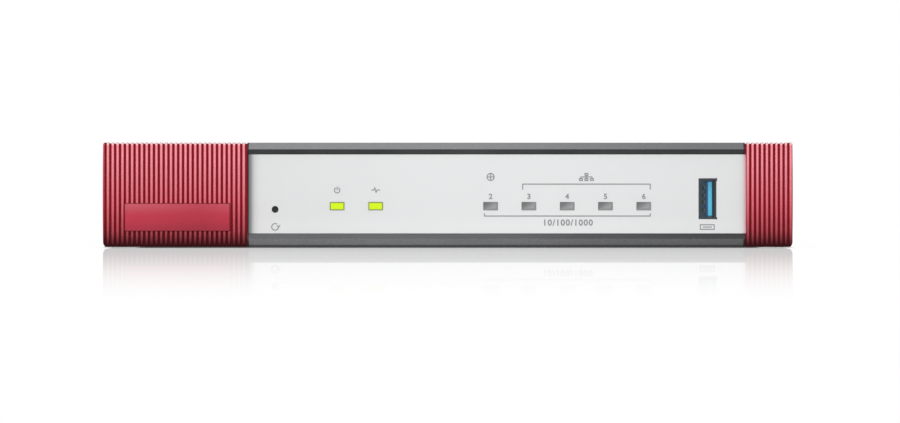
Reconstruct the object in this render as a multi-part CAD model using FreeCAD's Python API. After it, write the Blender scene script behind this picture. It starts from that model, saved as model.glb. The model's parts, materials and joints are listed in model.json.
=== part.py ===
"""Desktop firewall appliance: a flat sheet-metal box with a moulded front.

Millimetres, +Z up, front towards -Y, +X to the right of someone who faces the front.
The origin is on the surface that the feet stand on, under the middle of the box.
Each function builds the pieces of one sub-assembly and returns them by node name.
"""
import FreeCAD, Part
import math
import os

Vector = FreeCAD.Vector
X_AXIS = Vector(1, 0, 0)
Y_AXIS = Vector(0, 1, 0)
Z_AXIS = Vector(0, 0, 1)

# Overall size.
WIDTH = 216.0
DEPTH = 147.3
HEIGHT = 33.0
FRONT = -DEPTH / 2
REAR = DEPTH / 2
HALF = WIDTH / 2

# Moulded front: levels along Y, then heights.
CREST_Y = FRONT + 0.2            # crests of the ribs
RIDGE_Y = FRONT + 0.75           # ridges of the two lips of the frame
PLATE_Y = FRONT + 1.65           # front of the faceplate
PLATE_THICK = 0.8
FACE_WALL = 2.0
BEZEL_REAR = FRONT + 22.6      # where the metal case takes over
LIP_FOOT_Y = FRONT + 2.35        # where the outer bands of the lips start
FRAME_WALL = 1.6
BEZEL_FOOT = 0.3                 # underside of the front, above the table
LOWER_RIDGE_Z = 2.9              # ridge of the lower lip
LOWER_STEP_Z = 4.5               # where the lower lip's inner band meets the plate
UPPER_STEP_Z = 29.3
UPPER_RIDGE_Z = 30.9
PLATE_LOW_Z = 4.57
PLATE_HIGH_Z = 29.28
TONGUE_INSET = (4.0, 6.0)        # upper and lower tongue, in from the sides
TONGUE_THICK = (1.5, 1.6)
UPPER_TONGUE_Y = (BEZEL_REAR - 3, BEZEL_REAR + 5)
LOWER_TONGUE_Y = (BEZEL_REAR - 1, BEZEL_REAR + 7)
LEFT_CAP_INNER = -62.8
RIGHT_CAP_INNER = 93.1
PLATE_GAP = 0.5

# Ribbed corner caps.
CAP_WALL = 1.6
RIB_DEPTH = 0.8
RIB_GROOVE = 0.56                # width of a groove at its floor
RIB_FLANK = 0.10                 # how far a flank leans over the rib's depth
RIBS_LEFT = 30
RIBS_RIGHT = 10
RIBS_SIDE = 14
CAP_RECESS = 0.5                 # extra depth of the hollow behind the ribs
CAP_TOP_ROUND = 0.5
CORNER_CHAMFER = 0.8
CAP_FOOT_CHAMFER = 1.2
NAMEPLATE = (32.8, 8.5)
NAMEPLATE_CENTRE = (-84.65, 9.62)
NAMEPLATE_POCKET = 0.9
NAMEPLATE_GAP = 0.15
NAMEPLATE_CORNER = 0.3

# Sheet-metal case.
SHEET = 1.0
CASE_HALF = 107.5
CASE_TOP = 32.7
TRAY_UNDER = 1.6
TRAY_FLANGE = 11.0
BEND = 1.6                       # outer bend radius
PANEL_Y = REAR - 2.35            # outer face of the rear panel
VENT_PITCH = 4.2
VENT_COUNT = 22
VENT_WIDTH = 2.0
VENT_LENGTH = 14.0
VENT_Z = 20.5
VENT_MIDDLE_Y = 6.0
COVER_GAP = 0.2                  # between the front and the cover
REAR_TAB = (6.0, 4.5)            # half width, and how far it hangs below its screw
LOCK_SLOT = (7.0, 3.0)
LOCK_Z = 17.0
FOOT_RADIUS = 6.5
FOOT_XY = (92.0, -38.0, 60.0)
KEYHOLE_X = 70.0
KEYHOLE_Y = 8.0
KEYHOLE_R = 4.25
KEYHOLE_SLOT = (4.2, 8.0)

# Case screws.
SCREW_SHANK = 1.2
SCREW_PILOT = 1.25
SCREW_HOLE = 1.6
SIDE_SCREW_Y = (-34.0, 56.0)
SIDE_SCREW_Z = 7.0
REAR_SCREW_X = (-48.0, 44.0)
REAR_SCREW_Z = 26.0
FRAME_SCREW_X = (-80.0, 80.0)
FRAME_SCREW_Y = BEZEL_REAR + 3.6

# Main board.
BOARD_Z = 6.0
BOARD_THICK = 1.6
BOARD_TOP = BOARD_Z + BOARD_THICK
BOARD_HALF = 99.0
BOARD_FRONT = FRONT + 6.6
BOARD_REAR = PANEL_Y - SHEET - 0.4
BOARD_HOLE_R = 1.7
BOARD_SCREW_X = 94.0
BOARD_SCREW_Y = (-39.0, -4.0, 30.0)

# Parts on the board.
PROCESSOR = (-12.0, -8.0, 25.0, 2.2)      # x, y, side, height
SINK_SIZE = (66.0, 50.0)
SINK_BASE = 2.6
SINK_HEIGHT = 15.0
SINK_FINS = 12
PAD_THICK = 0.8
SINK_PIN_XY = (27.0, 19.0)
MEMORY_XY = ((-58.0, -14.0), (-58.0, 2.0))
SWITCH_CHIP_XY = (-54.0, 26.0)
FLASH_XY = (36.0, -34.0)
MEMORY_SIZE = (11.0, 8.0, 1.2)
SWITCH_CHIP_SIZE = (14.0, 14.0, 1.4)
FLASH_SIZE = (6.0, 8.0, 1.8)
TRANSFORMER_SIZE = (12.0, 8.0, 5.2)
TRANSFORMER_SET_BACK = 6.5       # behind the rear of the jacks
CAPACITOR_XY = ((58.0, 34.0), (70.0, 34.0), (58.0, 22.0), (36.0, 30.0))
CAPACITOR_PROFILE = [(4.0, 0), (4.0, 11.6), (3.6, 12.0)]
INDUCTOR_XY = ((74.0, 18.0), (74.0, 4.0), (52.0, 6.0))
INDUCTOR_SIZE = (8.0, 8.0, 4.0)

# Lamps.
LAMP_Z = 13.1
LAMP_SIZE = (4.6, 2.6)
LAMP_CHIP = (3.2, 1.6, 0.8)
POWER_LAMP_X = -34.66
SYSTEM_LAMP_X = -22.58
PORT_LAMP_X = 13.42
PORT_LAMP_PITCH = 12.0
PORT_LAMPS = 5
GUIDE_GAP = 0.05
GUIDE_REAR = FRONT + 11.2
GUIDE_PROUD = 0.1                # how far a guide stands out of the plate
GUIDE_TURN = 1.9                 # size of its 45 degree face
HOLDER_MARGIN = (6.0, 2.9)       # beyond the outer lamps, and above and below them
HOLDER_THICK = 2.6

# Reset button.
RESET_X = -54.1
RESET_Z = 12.07
RESET_HOLE_R = 1.07
PLUNGER_R = 1.7
PLUNGER_CLEARANCE = 0.05
PLUNGER_FRONT = FRONT + 4.6
RESET_BODY_FRONT = FRONT + 9.2
RESET_BODY = (6.2, 3.8, 6.2)
RESET_BORE = 3.0

# USB socket, standing on its side.
USB_X = 81.3
USB_Z = 15.42
USB_OPENING = (5.4, 12.8)
USB_OUTER = (5.7, 13.1)
USB_SHEET = 0.3
USB_DEPTH = 14.0
USB_TONGUE_X = (-0.55, 1.3)      # faces of the tongue, from the socket's middle
USB_TONGUE_HALF = 5.55
USB_TONGUE_SET_BACK = 1.6
USB_CONTACT = (0.2, 6.4, 1.0)
USB_CONTACT_Z = (-3.5, -1.0, 1.0, 3.5)

# Rear sockets.
JACK_FACE = PANEL_Y + 0.3
JACK_WIDTH = 15.9
JACK_HEIGHT = 13.3
JACK_DEPTH = 21.0
JACK_PITCH = 13.97
JACK_CAVITY_DEPTH = 12.5
LAN_X = -66.0
LAN_BAYS = 4
WAN_X = -22.0
SFP_X = 4.0
CONSOLE_X = 30.0
DC_X = 54.0
SWITCH_X = 76.0
LOCK_X = 97.0
SWITCH_Z = 14.0
ROCKER_TILT = 10.0               # degrees to each side of level
SFP_SIZE = (14.5, 9.9)
SFP_LOW = BOARD_TOP + 0.2
SFP_DEPTH = 48.0
DC_SIZE = (9.2, 11.2)
DC_DEPTH = 14.2
DC_AXIS_Z = BOARD_TOP + 6.4
SWITCH_BODY = (13.2, 8.6)
SWITCH_FLANGE = (15.4, 10.6)
JACK_MAIN = (11.9, 7.1)           # width and height of a jack's mouth
JACK_LATCH = (6.2, 1.5)
JACK_LATCH_TIP = (3.4, 1.2)
JACK_FLOOR = BOARD_TOP + 1.2
CONTACT_PITCH = 1.02
SWITCH_FACE = PANEL_Y + 1.1
PIVOT_Y = PANEL_Y - 2.4
WINDOW_HALF = (6.15, 3.55)
ROCKER_HALF = (5.35, 3.4)
PIVOT_R = 0.9
PIVOT_CLEARANCE = 0.05


def box(x0, x1, y0, y1, z0, z1):
    """Box between two corners."""
    return Part.makeBox(x1 - x0, y1 - y0, z1 - z0, Vector(x0, y0, z0))


def centred(cx, cy, cz, sx, sy, sz):
    """Box about a centre."""
    return box(cx - sx / 2, cx + sx / 2, cy - sy / 2, cy + sy / 2, cz - sz / 2, cz + sz / 2)


def rod(radius, length, x, y, z, direction):
    """Cylinder that starts at a point and runs along a direction."""
    return Part.makeCylinder(radius, length, Vector(x, y, z), direction)


def ring_wire(radius, height, sides):
    """Closed wire of a regular polygon about the Z axis, at a height."""
    turns = [2 * math.pi * k / sides for k in range(sides)]
    ring = [Vector(radius * math.cos(turn), radius * math.sin(turn), height) for turn in turns]
    return Part.makePolygon(ring + ring[:1])


def peg(radius, length, x, y, z, direction, sides=8):
    """Many-sided straight peg, for small holes and shanks that repeat."""
    solid = Part.Face(ring_wire(radius, 0, sides)).extrude(Vector(0, 0, length))
    solid.Placement = FreeCAD.Placement(Vector(x, y, z), FreeCAD.Rotation(Z_AXIS, direction))
    return solid


def faceted(profile, x, y, z, direction, sides=8):
    """Many-sided solid from (radius, height) points, stood on a point: a turned part that repeats."""
    stages = []
    for (r0, h0), (r1, h1) in zip(profile, profile[1:]):
        if h1 - h0 < 1e-6:
            continue
        rings = [ring_wire(r0, h0, sides), ring_wire(r1, h1, sides)]
        stages.append(Part.makeLoft(rings, True, True))
    solid = join(stages)
    solid.Placement = FreeCAD.Placement(Vector(x, y, z), FreeCAD.Rotation(Z_AXIS, direction))
    return solid


def join(shapes):
    """One shape from many that touch or overlap."""
    first = shapes[0]
    return first.multiFuse(shapes[1:]).removeSplitter() if len(shapes) > 1 else first


def group(shapes):
    """Separate solids kept in one node."""
    return Part.makeCompound(shapes)


def prism_x(points, x0, x1):
    """Section in the YZ plane, extruded along X."""
    wire = Part.makePolygon([Vector(x0, y, z) for y, z in points + points[:1]])
    return Part.Face(wire).extrude(Vector(x1 - x0, 0, 0))


def prism_z(points, z0, z1):
    """Outline in the XY plane, extruded along Z."""
    wire = Part.makePolygon([Vector(x, y, z0) for x, y in points + points[:1]])
    return Part.Face(wire).extrude(Vector(0, 0, z1 - z0))


def turned(profile, x, y, z, direction):
    """Solid of revolution from (radius, height) points, stood on a point."""
    wire = Part.makePolygon([Vector(r, 0, h) for r, h in profile + profile[:1]])
    solid = Part.Face(wire).revolve(Vector(0, 0, 0), Z_AXIS, 360)
    solid.Placement = FreeCAD.Placement(Vector(x, y, z), FreeCAD.Rotation(Z_AXIS, direction))
    return solid


def rounded(solid, radius, along, inside=lambda point: True):
    """Fillet the straight edges that run along an axis and pass a test of their middle."""
    edges = []
    for edge in solid.Edges:
        if edge.Curve.TypeId != "Part::GeomLine":
            continue
        middle = edge.valueAt((edge.FirstParameter + edge.LastParameter) / 2)
        if abs(abs(edge.tangentAt(edge.FirstParameter).dot(along)) - 1) < 1e-6 and inside(middle):
            edges.append(edge)
    return solid.makeFillet(radius, edges)


def lamp_positions():
    """X of every lamp, from left to right."""
    ports = [PORT_LAMP_X + PORT_LAMP_PITCH * i for i in range(PORT_LAMPS)]
    return [POWER_LAMP_X, SYSTEM_LAMP_X] + ports


# ---------------------------------------------------------------- moulded front


def front_cutters(lamp_gap, reset_radius, usb_gap):
    """What passes through the faceplate and the frame's face wall."""
    y0 = FRONT - 1
    y1 = FRONT + 8
    cutters = [
        box(x - LAMP_SIZE[0] / 2 - lamp_gap, x + LAMP_SIZE[0] / 2 + lamp_gap, y0, y1,
            LAMP_Z - LAMP_SIZE[1] / 2 - lamp_gap, LAMP_Z + LAMP_SIZE[1] / 2 + lamp_gap)
        for x in lamp_positions()
    ]
    cutters.append(rod(reset_radius, y1 - y0, RESET_X, y0, RESET_Z, Y_AXIS))
    cutters.append(centred(USB_X, (y0 + y1) / 2, USB_Z,
                           USB_OPENING[0] + usb_gap, y1 - y0, USB_OPENING[1] + usb_gap))
    return cutters


def front_frame():
    """Dark frame: two sloped lips about the faceplate, and plain ends inside the caps."""
    top = HEIGHT
    step = PLATE_Y + 0.1
    face_rear = PLATE_Y + PLATE_THICK + FACE_WALL
    section = [
        (LIP_FOOT_Y, BEZEL_FOOT), (RIDGE_Y, LOWER_RIDGE_Z), (step, LOWER_STEP_Z),
        (step, UPPER_STEP_Z), (RIDGE_Y, UPPER_RIDGE_Z), (LIP_FOOT_Y, top),
        (BEZEL_REAR, top), (BEZEL_REAR, BEZEL_FOOT),
    ]
    middle = prism_x(section, LEFT_CAP_INNER, RIGHT_CAP_INNER)
    ends = box(-HALF + CAP_WALL, HALF - CAP_WALL, CREST_Y + CAP_WALL + CAP_RECESS, BEZEL_REAR,
               BEZEL_FOOT + CAP_WALL, top - CAP_WALL)
    solid = middle.fuse(ends)
    hollow_middle = box(LEFT_CAP_INNER + FRAME_WALL, RIGHT_CAP_INNER - FRAME_WALL, face_rear, BEZEL_REAR + 1,
                        BEZEL_FOOT + FACE_WALL, top - FACE_WALL)
    inset = CAP_WALL + FRAME_WALL
    hollow_ends = box(-HALF + inset, HALF - inset, face_rear, BEZEL_REAR + 1, BEZEL_FOOT + inset, top - inset)
    plate_seat = box(LEFT_CAP_INNER + PLATE_GAP, RIGHT_CAP_INNER, FRONT, PLATE_Y + PLATE_THICK,
                     PLATE_LOW_Z, PLATE_HIGH_Z)
    tongue_high = HEIGHT - CAP_WALL
    tongue_low = TRAY_UNDER + SHEET
    half_top, half_foot = (HALF - inset for inset in TONGUE_INSET)
    thick_top, thick_foot = TONGUE_THICK
    tongue_top = box(-half_top, half_top, *UPPER_TONGUE_Y, tongue_high - thick_top, tongue_high)
    tongue_foot = box(-half_foot, half_foot, *LOWER_TONGUE_Y, tongue_low, tongue_low + thick_foot)
    solid = solid.cut([hollow_middle, hollow_ends, plate_seat])
    solid = join([solid, tongue_top, tongue_foot])
    solid = solid.cut([peg(SCREW_PILOT, 4, x, FRAME_SCREW_Y, tongue_low - 1, Z_AXIS) for x in FRAME_SCREW_X])
    return solid.cut(front_cutters(0.15, RESET_HOLE_R + 0.25, 0.9)).removeSplitter()


def faceplate():
    """Silver plate with windows for the lamps, the reset button and the USB socket."""
    plate = box(LEFT_CAP_INNER + PLATE_GAP, RIGHT_CAP_INNER, PLATE_Y, PLATE_Y + PLATE_THICK,
                PLATE_LOW_Z, PLATE_HIGH_Z)
    plate = plate.cut(front_cutters(0.0, RESET_HOLE_R, 0.0))

    def at_usb(point):
        return abs(point.x - USB_X) < USB_OPENING[0] and abs(point.z - USB_Z) < USB_OPENING[1] * 0.6

    return rounded(plate, 0.4, Y_AXIS, at_usb)


def rib_points(start, along, outward, count, pitch):
    """Points of a row of ribs in plan: groove floor, flank, crest, flank."""
    steps = [(0.0, 0.0), (RIB_GROOVE, 0.0), (RIB_GROOVE + RIB_FLANK, RIB_DEPTH),
             (pitch - RIB_FLANK, RIB_DEPTH)]
    points = []
    for i in range(count):
        foot = start + along * (pitch * i)
        points += [foot + along * u + outward * v for u, v in steps]
    return points, start + along * (pitch * count)


def ribbed_cap(inner_x, side, ribs):
    """Corner cap whose upright ribs wrap round the corner; side is -1 left, +1 right."""
    floor_y = CREST_Y + RIB_DEPTH
    outer = HALF - RIB_DEPTH
    span = outer - abs(inner_x)
    start = Vector(abs(inner_x), floor_y, BEZEL_FOOT)
    front, corner = rib_points(start, X_AXIS, -Y_AXIS, ribs, span / ribs)
    flank, rear = rib_points(corner, Y_AXIS, X_AXIS, RIBS_SIDE, (BEZEL_REAR - floor_y) / RIBS_SIDE)
    back = Vector(abs(inner_x), BEZEL_REAR, BEZEL_FOOT)
    outline = Part.makePolygon(front + flank + [rear, back, start])
    ribbed = Part.Face(outline).extrude(Vector(0, 0, HEIGHT - BEZEL_FOOT))

    corner_post = box(outer - 0.7, HALF, CREST_Y, floor_y + 0.7, BEZEL_FOOT, HEIGHT)
    envelope = box(abs(inner_x), HALF, CREST_Y, BEZEL_REAR, BEZEL_FOOT, HEIGHT)
    corner_edge = [e for e in envelope.Edges
                   if e.BoundBox.XMin > HALF - 0.01 and e.BoundBox.YMax < CREST_Y + 0.01]
    envelope = envelope.makeChamfer(CORNER_CHAMFER, corner_edge)
    top_edges = [e for e in envelope.Edges if e.BoundBox.ZMin > HEIGHT - 0.01
                 and (e.BoundBox.YMax < CREST_Y + 2 or e.BoundBox.XMin > HALF - 2)]
    envelope = envelope.makeChamfer(CAP_TOP_ROUND, top_edges)
    foot_edges = [e for e in envelope.Edges if e.BoundBox.ZMax < BEZEL_FOOT + 0.01
                  and (e.BoundBox.YMax < CREST_Y + 2 or e.BoundBox.XMin > HALF - 2)]
    envelope = envelope.makeChamfer(CAP_FOOT_CHAMFER, foot_edges)

    cap = ribbed.fuse(corner_post).common(envelope)
    hollow = box(0, HALF - CAP_WALL, CREST_Y + CAP_WALL + CAP_RECESS, BEZEL_REAR + 1,
                 BEZEL_FOOT + CAP_WALL, HEIGHT - CAP_WALL)
    cap = cap.cut(hollow).removeSplitter()
    if side < 0:
        cap = cap.mirror(Vector(0, 0, 0), X_AXIS)
    return cap


def nameplate_box(margin, y0, y1):
    """Block in the place of the blank nameplate."""
    cx, cz = NAMEPLATE_CENTRE
    return centred(cx, (y0 + y1) / 2, cz, NAMEPLATE[0] + 2 * margin, y1 - y0, NAMEPLATE[1] + 2 * margin)


def caps():
    """Both caps and the flat blank plate that sits in the left one."""
    left = ribbed_cap(LEFT_CAP_INNER, -1, RIBS_LEFT)
    left = left.cut(nameplate_box(NAMEPLATE_GAP, FRONT - 1, CREST_Y + NAMEPLATE_POCKET))
    plate = rounded(nameplate_box(0.0, FRONT, CREST_Y + NAMEPLATE_POCKET), NAMEPLATE_CORNER, Y_AXIS)
    return {
        "left_ribbed_cap": left,
        "right_ribbed_cap": ribbed_cap(RIGHT_CAP_INNER, 1, RIBS_RIGHT),
        "blank_nameplate": plate,
    }


def light_guide(x):
    """Clear L-shaped guide: up from a lamp chip, turned by a 45 degree face, out of the plate."""
    low = LAMP_Z - LAMP_SIZE[1] / 2 + GUIDE_GAP
    high = LAMP_Z + LAMP_SIZE[1] / 2 - GUIDE_GAP
    front = PLATE_Y - GUIDE_PROUD
    foot = BOARD_TOP + 1.1
    inner = GUIDE_REAR - LAMP_SIZE[1]
    points = [(front, low), (inner, low), (inner, foot), (GUIDE_REAR, foot),
              (GUIDE_REAR, high - GUIDE_TURN), (GUIDE_REAR - GUIDE_TURN, high), (front, high)]
    half = LAMP_SIZE[0] / 2 - GUIDE_GAP
    return prism_x(points, x - half, x + half)


def lamps():
    """Light guides, the black bar that holds them, and the lamp chips on the board."""
    positions = lamp_positions()
    guides = [light_guide(x) for x in positions]
    bar_front = PLATE_Y + PLATE_THICK + FACE_WALL
    side, above = HOLDER_MARGIN
    bar = box(positions[0] - side, positions[-1] + side, bar_front, bar_front + HOLDER_THICK,
              LAMP_Z - above, LAMP_Z + above)
    half = LAMP_SIZE[0] / 2
    windows = [box(x - half, x + half, bar_front - 1, bar_front + 4,
                   LAMP_Z - LAMP_SIZE[1] / 2, LAMP_Z + LAMP_SIZE[1] / 2) for x in positions]
    chips = [centred(x, GUIDE_REAR - LAMP_SIZE[1] / 2, BOARD_TOP + LAMP_CHIP[2] / 2, *LAMP_CHIP)
             for x in positions]
    return {
        "power_light_guide": guides[0],
        "system_light_guide": guides[1],
        "port_light_guides": group(guides[2:]),
        "light_guide_holder": bar.cut(windows),
        "lamp_chips": group(chips),
    }


# ---------------------------------------------------------------- front controls


def reset_button():
    """Side-acting push switch behind the pinhole, with its sliding plunger."""
    front = RESET_BODY_FRONT
    body = centred(RESET_X, front + RESET_BODY[1] / 2, RESET_Z, *RESET_BODY)
    bore = rod(PLUNGER_R + PLUNGER_CLEARANCE, RESET_BORE, RESET_X, front - 0.01, RESET_Z, Y_AXIS)
    saddle = box(RESET_X - 3.9, RESET_X + 3.9, front + 0.6, front + 3.2, BOARD_TOP, RESET_Z - 3.1)
    pillars = [box(RESET_X + s * 3.5 - 0.4, RESET_X + s * 3.5 + 0.4, front + 0.6, front + 3.2,
                   BOARD_TOP, RESET_Z + 2.4) for s in (-1, 1)]
    nose = PLUNGER_R - 0.25
    reach = front + 2.2 - PLUNGER_FRONT
    plunger = turned([(0, 0), (nose, 0), (PLUNGER_R, 0.25), (PLUNGER_R, reach), (0, reach)],
                     RESET_X, PLUNGER_FRONT, RESET_Z, Y_AXIS)
    return {
        "reset_switch_body": join([body, saddle] + pillars).cut(bore),
        "reset_plunger": plunger,
    }


def usb_socket():
    """Folded shell with a flared mouth, the tongue with its contacts, and the rear block."""
    mouth = PLATE_Y + PLATE_THICK
    rear = mouth + USB_DEPTH
    width, tall = USB_OUTER
    outer = centred(USB_X, (mouth + rear) / 2, USB_Z, width, rear - mouth, tall)
    inner = centred(USB_X, (mouth + rear) / 2 - 1, USB_Z, width - 2 * USB_SHEET,
                    rear - mouth, tall - 2 * USB_SHEET)
    legs = [box(USB_X + s * (width / 2 - 0.15) - 0.15, USB_X + s * (width / 2 - 0.15) + 0.15,
                mouth + 7, mouth + 9, BOARD_TOP, USB_Z - tall / 2 + 0.2) for s in (-1, 1)]
    shell = join([outer.cut(inner)] + legs)
    left, right = USB_TONGUE_X
    tongue = box(USB_X + left, USB_X + right, mouth + USB_TONGUE_SET_BACK, rear - 4,
                 USB_Z - USB_TONGUE_HALF, USB_Z + USB_TONGUE_HALF)
    tongue = rounded(tongue, 0.25, Z_AXIS, lambda p: p.y < mouth + 2)
    block = box(USB_X - 2.4, USB_X + 2.4, rear - 4, rear - 1, USB_Z - 6.1, USB_Z + 6.1)
    contacts = [centred(USB_X + left - USB_CONTACT[0] / 2, mouth + 6.2, USB_Z + dz, *USB_CONTACT)
                for dz in USB_CONTACT_Z]
    return {
        "usb_socket_shell": shell,
        "usb_tongue": join([tongue, block]),
        "usb_contacts": group(contacts),
    }


# ---------------------------------------------------------------- sheet-metal case


def slot_z(x, y, z, width, length, depth):
    """Upright slot with eased ends that cuts through a side wall."""
    half, ease = width / 2, width * 0.3
    top = length / 2
    right = [(y + half, z - top + ease), (y + half, z + top - ease), (y + half - ease, z + top)]
    left = [(2 * y - v, 2 * z - w) for v, w in right]
    return prism_x(right + left, x - depth / 2, x + depth / 2)


def u_section(half, low, high, radius):
    """Wire of a channel section in the XZ plane with bent corners, open at the bottom."""
    r = radius
    k = r * (1 - math.sqrt(0.5))
    points = [
        (Vector(-half, 0, low), Vector(-half, 0, high - r)),
        (Vector(-half, 0, high - r), Vector(-half + k, 0, high - k), Vector(-half + r, 0, high)),
        (Vector(-half + r, 0, high), Vector(half - r, 0, high)),
        (Vector(half - r, 0, high), Vector(half - k, 0, high - k), Vector(half, 0, high - r)),
        (Vector(half, 0, high - r), Vector(half, 0, low)),
        (Vector(half, 0, low), Vector(-half, 0, low)),
    ]
    edges = [Part.LineSegment(*p).toShape() if len(p) == 2 else Part.Arc(*p).toShape() for p in points]
    return Part.Face(Part.Wire(edges))


def top_cover():
    """Folded cover: top and two sides with vent slots, and two tabs for the rear screws."""
    low = TRAY_UNDER
    length = REAR - BEZEL_REAR - COVER_GAP
    outside = u_section(CASE_HALF, low, CASE_TOP, BEND).extrude(Vector(0, length, 0))
    hollow = u_section(CASE_HALF - SHEET, low - 1, CASE_TOP - SHEET, BEND - SHEET)
    inside = hollow.extrude(Vector(0, length + 2, 0))
    inside.translate(Vector(0, -1, 0))
    cover = outside.cut(inside)
    cover.translate(Vector(0, BEZEL_REAR + COVER_GAP, 0))
    row = (VENT_COUNT - 1) * VENT_PITCH
    cutters = []
    for side in (-1, 1):
        for i in range(VENT_COUNT):
            y = VENT_MIDDLE_Y - row / 2 + i * VENT_PITCH
            cutters.append(slot_z(side * (CASE_HALF - SHEET / 2), y, VENT_Z,
                                  VENT_WIDTH, VENT_LENGTH, SHEET * 3))
        for y in SIDE_SCREW_Y:
            cutters.append(peg(SCREW_HOLE, 3 * SHEET, side * (CASE_HALF - 2 * SHEET), y,
                               SIDE_SCREW_Z, X_AXIS * side))
    tabs = []
    tab_half, tab_drop = REAR_TAB
    for x in REAR_SCREW_X:
        tab = box(x - tab_half, x + tab_half, PANEL_Y - 2 * SHEET, PANEL_Y - SHEET,
                  REAR_SCREW_Z - tab_drop, CASE_TOP - SHEET)
        tabs.append(tab.cut(peg(SCREW_PILOT, 4, x, PANEL_Y - 3, REAR_SCREW_Z, Y_AXIS)))
    return join([cover.cut(cutters)] + tabs)


def base_tray():
    """Tray with side flanges, keyholes for a wall, and holes for the front's screws."""
    half = CASE_HALF - SHEET
    floor_top = TRAY_UNDER + SHEET
    length = PANEL_Y - SHEET - BEZEL_REAR
    outside = u_section(half, -TRAY_FLANGE - TRAY_UNDER, -TRAY_UNDER, BEND).extrude(Vector(0, length, 0))
    inside = u_section(half - SHEET, -TRAY_FLANGE - TRAY_UNDER - 1, -floor_top,
                       BEND - SHEET).extrude(Vector(0, length + 2, 0))
    inside.translate(Vector(0, -1, 0))
    tray = outside.cut(inside).mirror(Vector(0, 0, 0), Z_AXIS)
    tray.translate(Vector(0, BEZEL_REAR, 0))
    cutters = []
    for side in (-1, 1):
        x = side * KEYHOLE_X
        slot_width, slot_run = KEYHOLE_SLOT
        cutters.append(rod(KEYHOLE_R, 3, x, KEYHOLE_Y, TRAY_UNDER - 1, Z_AXIS))
        cutters.append(box(x - slot_width / 2, x + slot_width / 2, KEYHOLE_Y - slot_run, KEYHOLE_Y,
                           TRAY_UNDER - 1, TRAY_UNDER + 2))
        cutters.append(rod(slot_width / 2, 3, x, KEYHOLE_Y - slot_run, TRAY_UNDER - 1, Z_AXIS))
        for y in SIDE_SCREW_Y:
            cutters.append(peg(SCREW_PILOT, 4, side * (half - 2), y, SIDE_SCREW_Z, X_AXIS * side))
    for x in FRAME_SCREW_X:
        cutters.append(peg(SCREW_HOLE, 3, x, FRAME_SCREW_Y, TRAY_UNDER - 1, Z_AXIS))
    return tray.cut(cutters)


def rear_cutters():
    """Openings of the rear panel, each a little larger than what stands in it."""
    y = PANEL_Y - SHEET / 2
    jack_z = BOARD_TOP + JACK_HEIGHT / 2
    lan_width = JACK_WIDTH + (LAN_BAYS - 1) * JACK_PITCH
    cutters = [centred(x, y, jack_z, width + 0.4, 4, JACK_HEIGHT + 0.4)
               for x, width in ((LAN_X, lan_width), (WAN_X, JACK_WIDTH), (CONSOLE_X, JACK_WIDTH))]
    cutters.append(centred(SFP_X, y, SFP_LOW + SFP_SIZE[1] / 2, SFP_SIZE[0] + 0.3, 4, SFP_SIZE[1] + 0.3))
    cutters.append(centred(DC_X, y, BOARD_TOP + DC_SIZE[1] / 2, DC_SIZE[0] + 0.4, 4, DC_SIZE[1] + 0.4))
    cutters.append(centred(SWITCH_X, y, SWITCH_Z, SWITCH_BODY[0] + 0.2, 4, SWITCH_BODY[1] + 0.2))
    lock = centred(LOCK_X, y, LOCK_Z, LOCK_SLOT[0], 4, LOCK_SLOT[1])
    cutters.append(rounded(lock, 1.2, Y_AXIS))
    for x in REAR_SCREW_X:
        cutters.append(peg(SCREW_HOLE, 4, x, PANEL_Y - 2, REAR_SCREW_Z, Y_AXIS))
    return cutters


def rear_panel():
    """Rear panel with the socket openings and a foot bent in over the tray."""
    half = CASE_HALF - SHEET
    low = TRAY_UNDER + SHEET
    r = BEND
    wall = box(-half, half, PANEL_Y - SHEET, PANEL_Y, TRAY_UNDER, CASE_TOP - SHEET)
    wall = rounded(wall, BEND, Y_AXIS, lambda p: p.z > HEIGHT / 2)
    foot = box(-half + SHEET + 1, half - SHEET - 1, PANEL_Y - 9, PANEL_Y - SHEET, low, low + SHEET)
    panel = join([wall, foot])
    panel = rounded(panel, r - SHEET, X_AXIS, lambda p: abs(p.z - low - SHEET) < 0.01 and p.y > PANEL_Y - 2)
    return panel.cut(rear_cutters())


def feet():
    """Four round rubber feet with a turned edge."""
    x0, y0, y1 = FOOT_XY
    profile = [(FOOT_RADIUS - 0.6, 0), (FOOT_RADIUS, 0.5), (FOOT_RADIUS, TRAY_UNDER)]
    return group([faceted(profile, sx * x0, y, 0, Z_AXIS, 16) for sx in (-1, 1) for y in (y0, y1)])


def pan_screw(x, y, z, direction, head_radius, head_height, length):
    """Pan-head screw: the head stands on a point, the shank runs the other way."""
    shoulder = head_height * 0.5
    profile = [(SCREW_SHANK, -length), (SCREW_SHANK, 0), (head_radius, 0), (head_radius, shoulder),
               (head_radius * 0.7, head_height)]
    return faceted(profile, x, y, z, direction)


def case_screws():
    """Screws of the cover's sides, the rear panel and the front."""
    sides = [pan_screw(s * CASE_HALF, y, SIDE_SCREW_Z, X_AXIS * s, 2.6, 0.45, 4.5)
             for s in (-1, 1) for y in SIDE_SCREW_Y]
    rear = [pan_screw(x, PANEL_Y, REAR_SCREW_Z, Y_AXIS, 2.8, 1.5, 5.0) for x in REAR_SCREW_X]
    front = [pan_screw(x, FRAME_SCREW_Y, TRAY_UNDER, -Z_AXIS, 2.6, 1.0, 2.4) for x in FRAME_SCREW_X]
    return {"side_screws": group(sides), "rear_screws": group(rear), "front_screws": group(front)}


# ---------------------------------------------------------------- main board


def board_holes(radius, low, height):
    """Cylinders at the board's screw places."""
    return [peg(radius, height, s * BOARD_SCREW_X, y, low, Z_AXIS) for s in (-1, 1) for y in BOARD_SCREW_Y]


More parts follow.
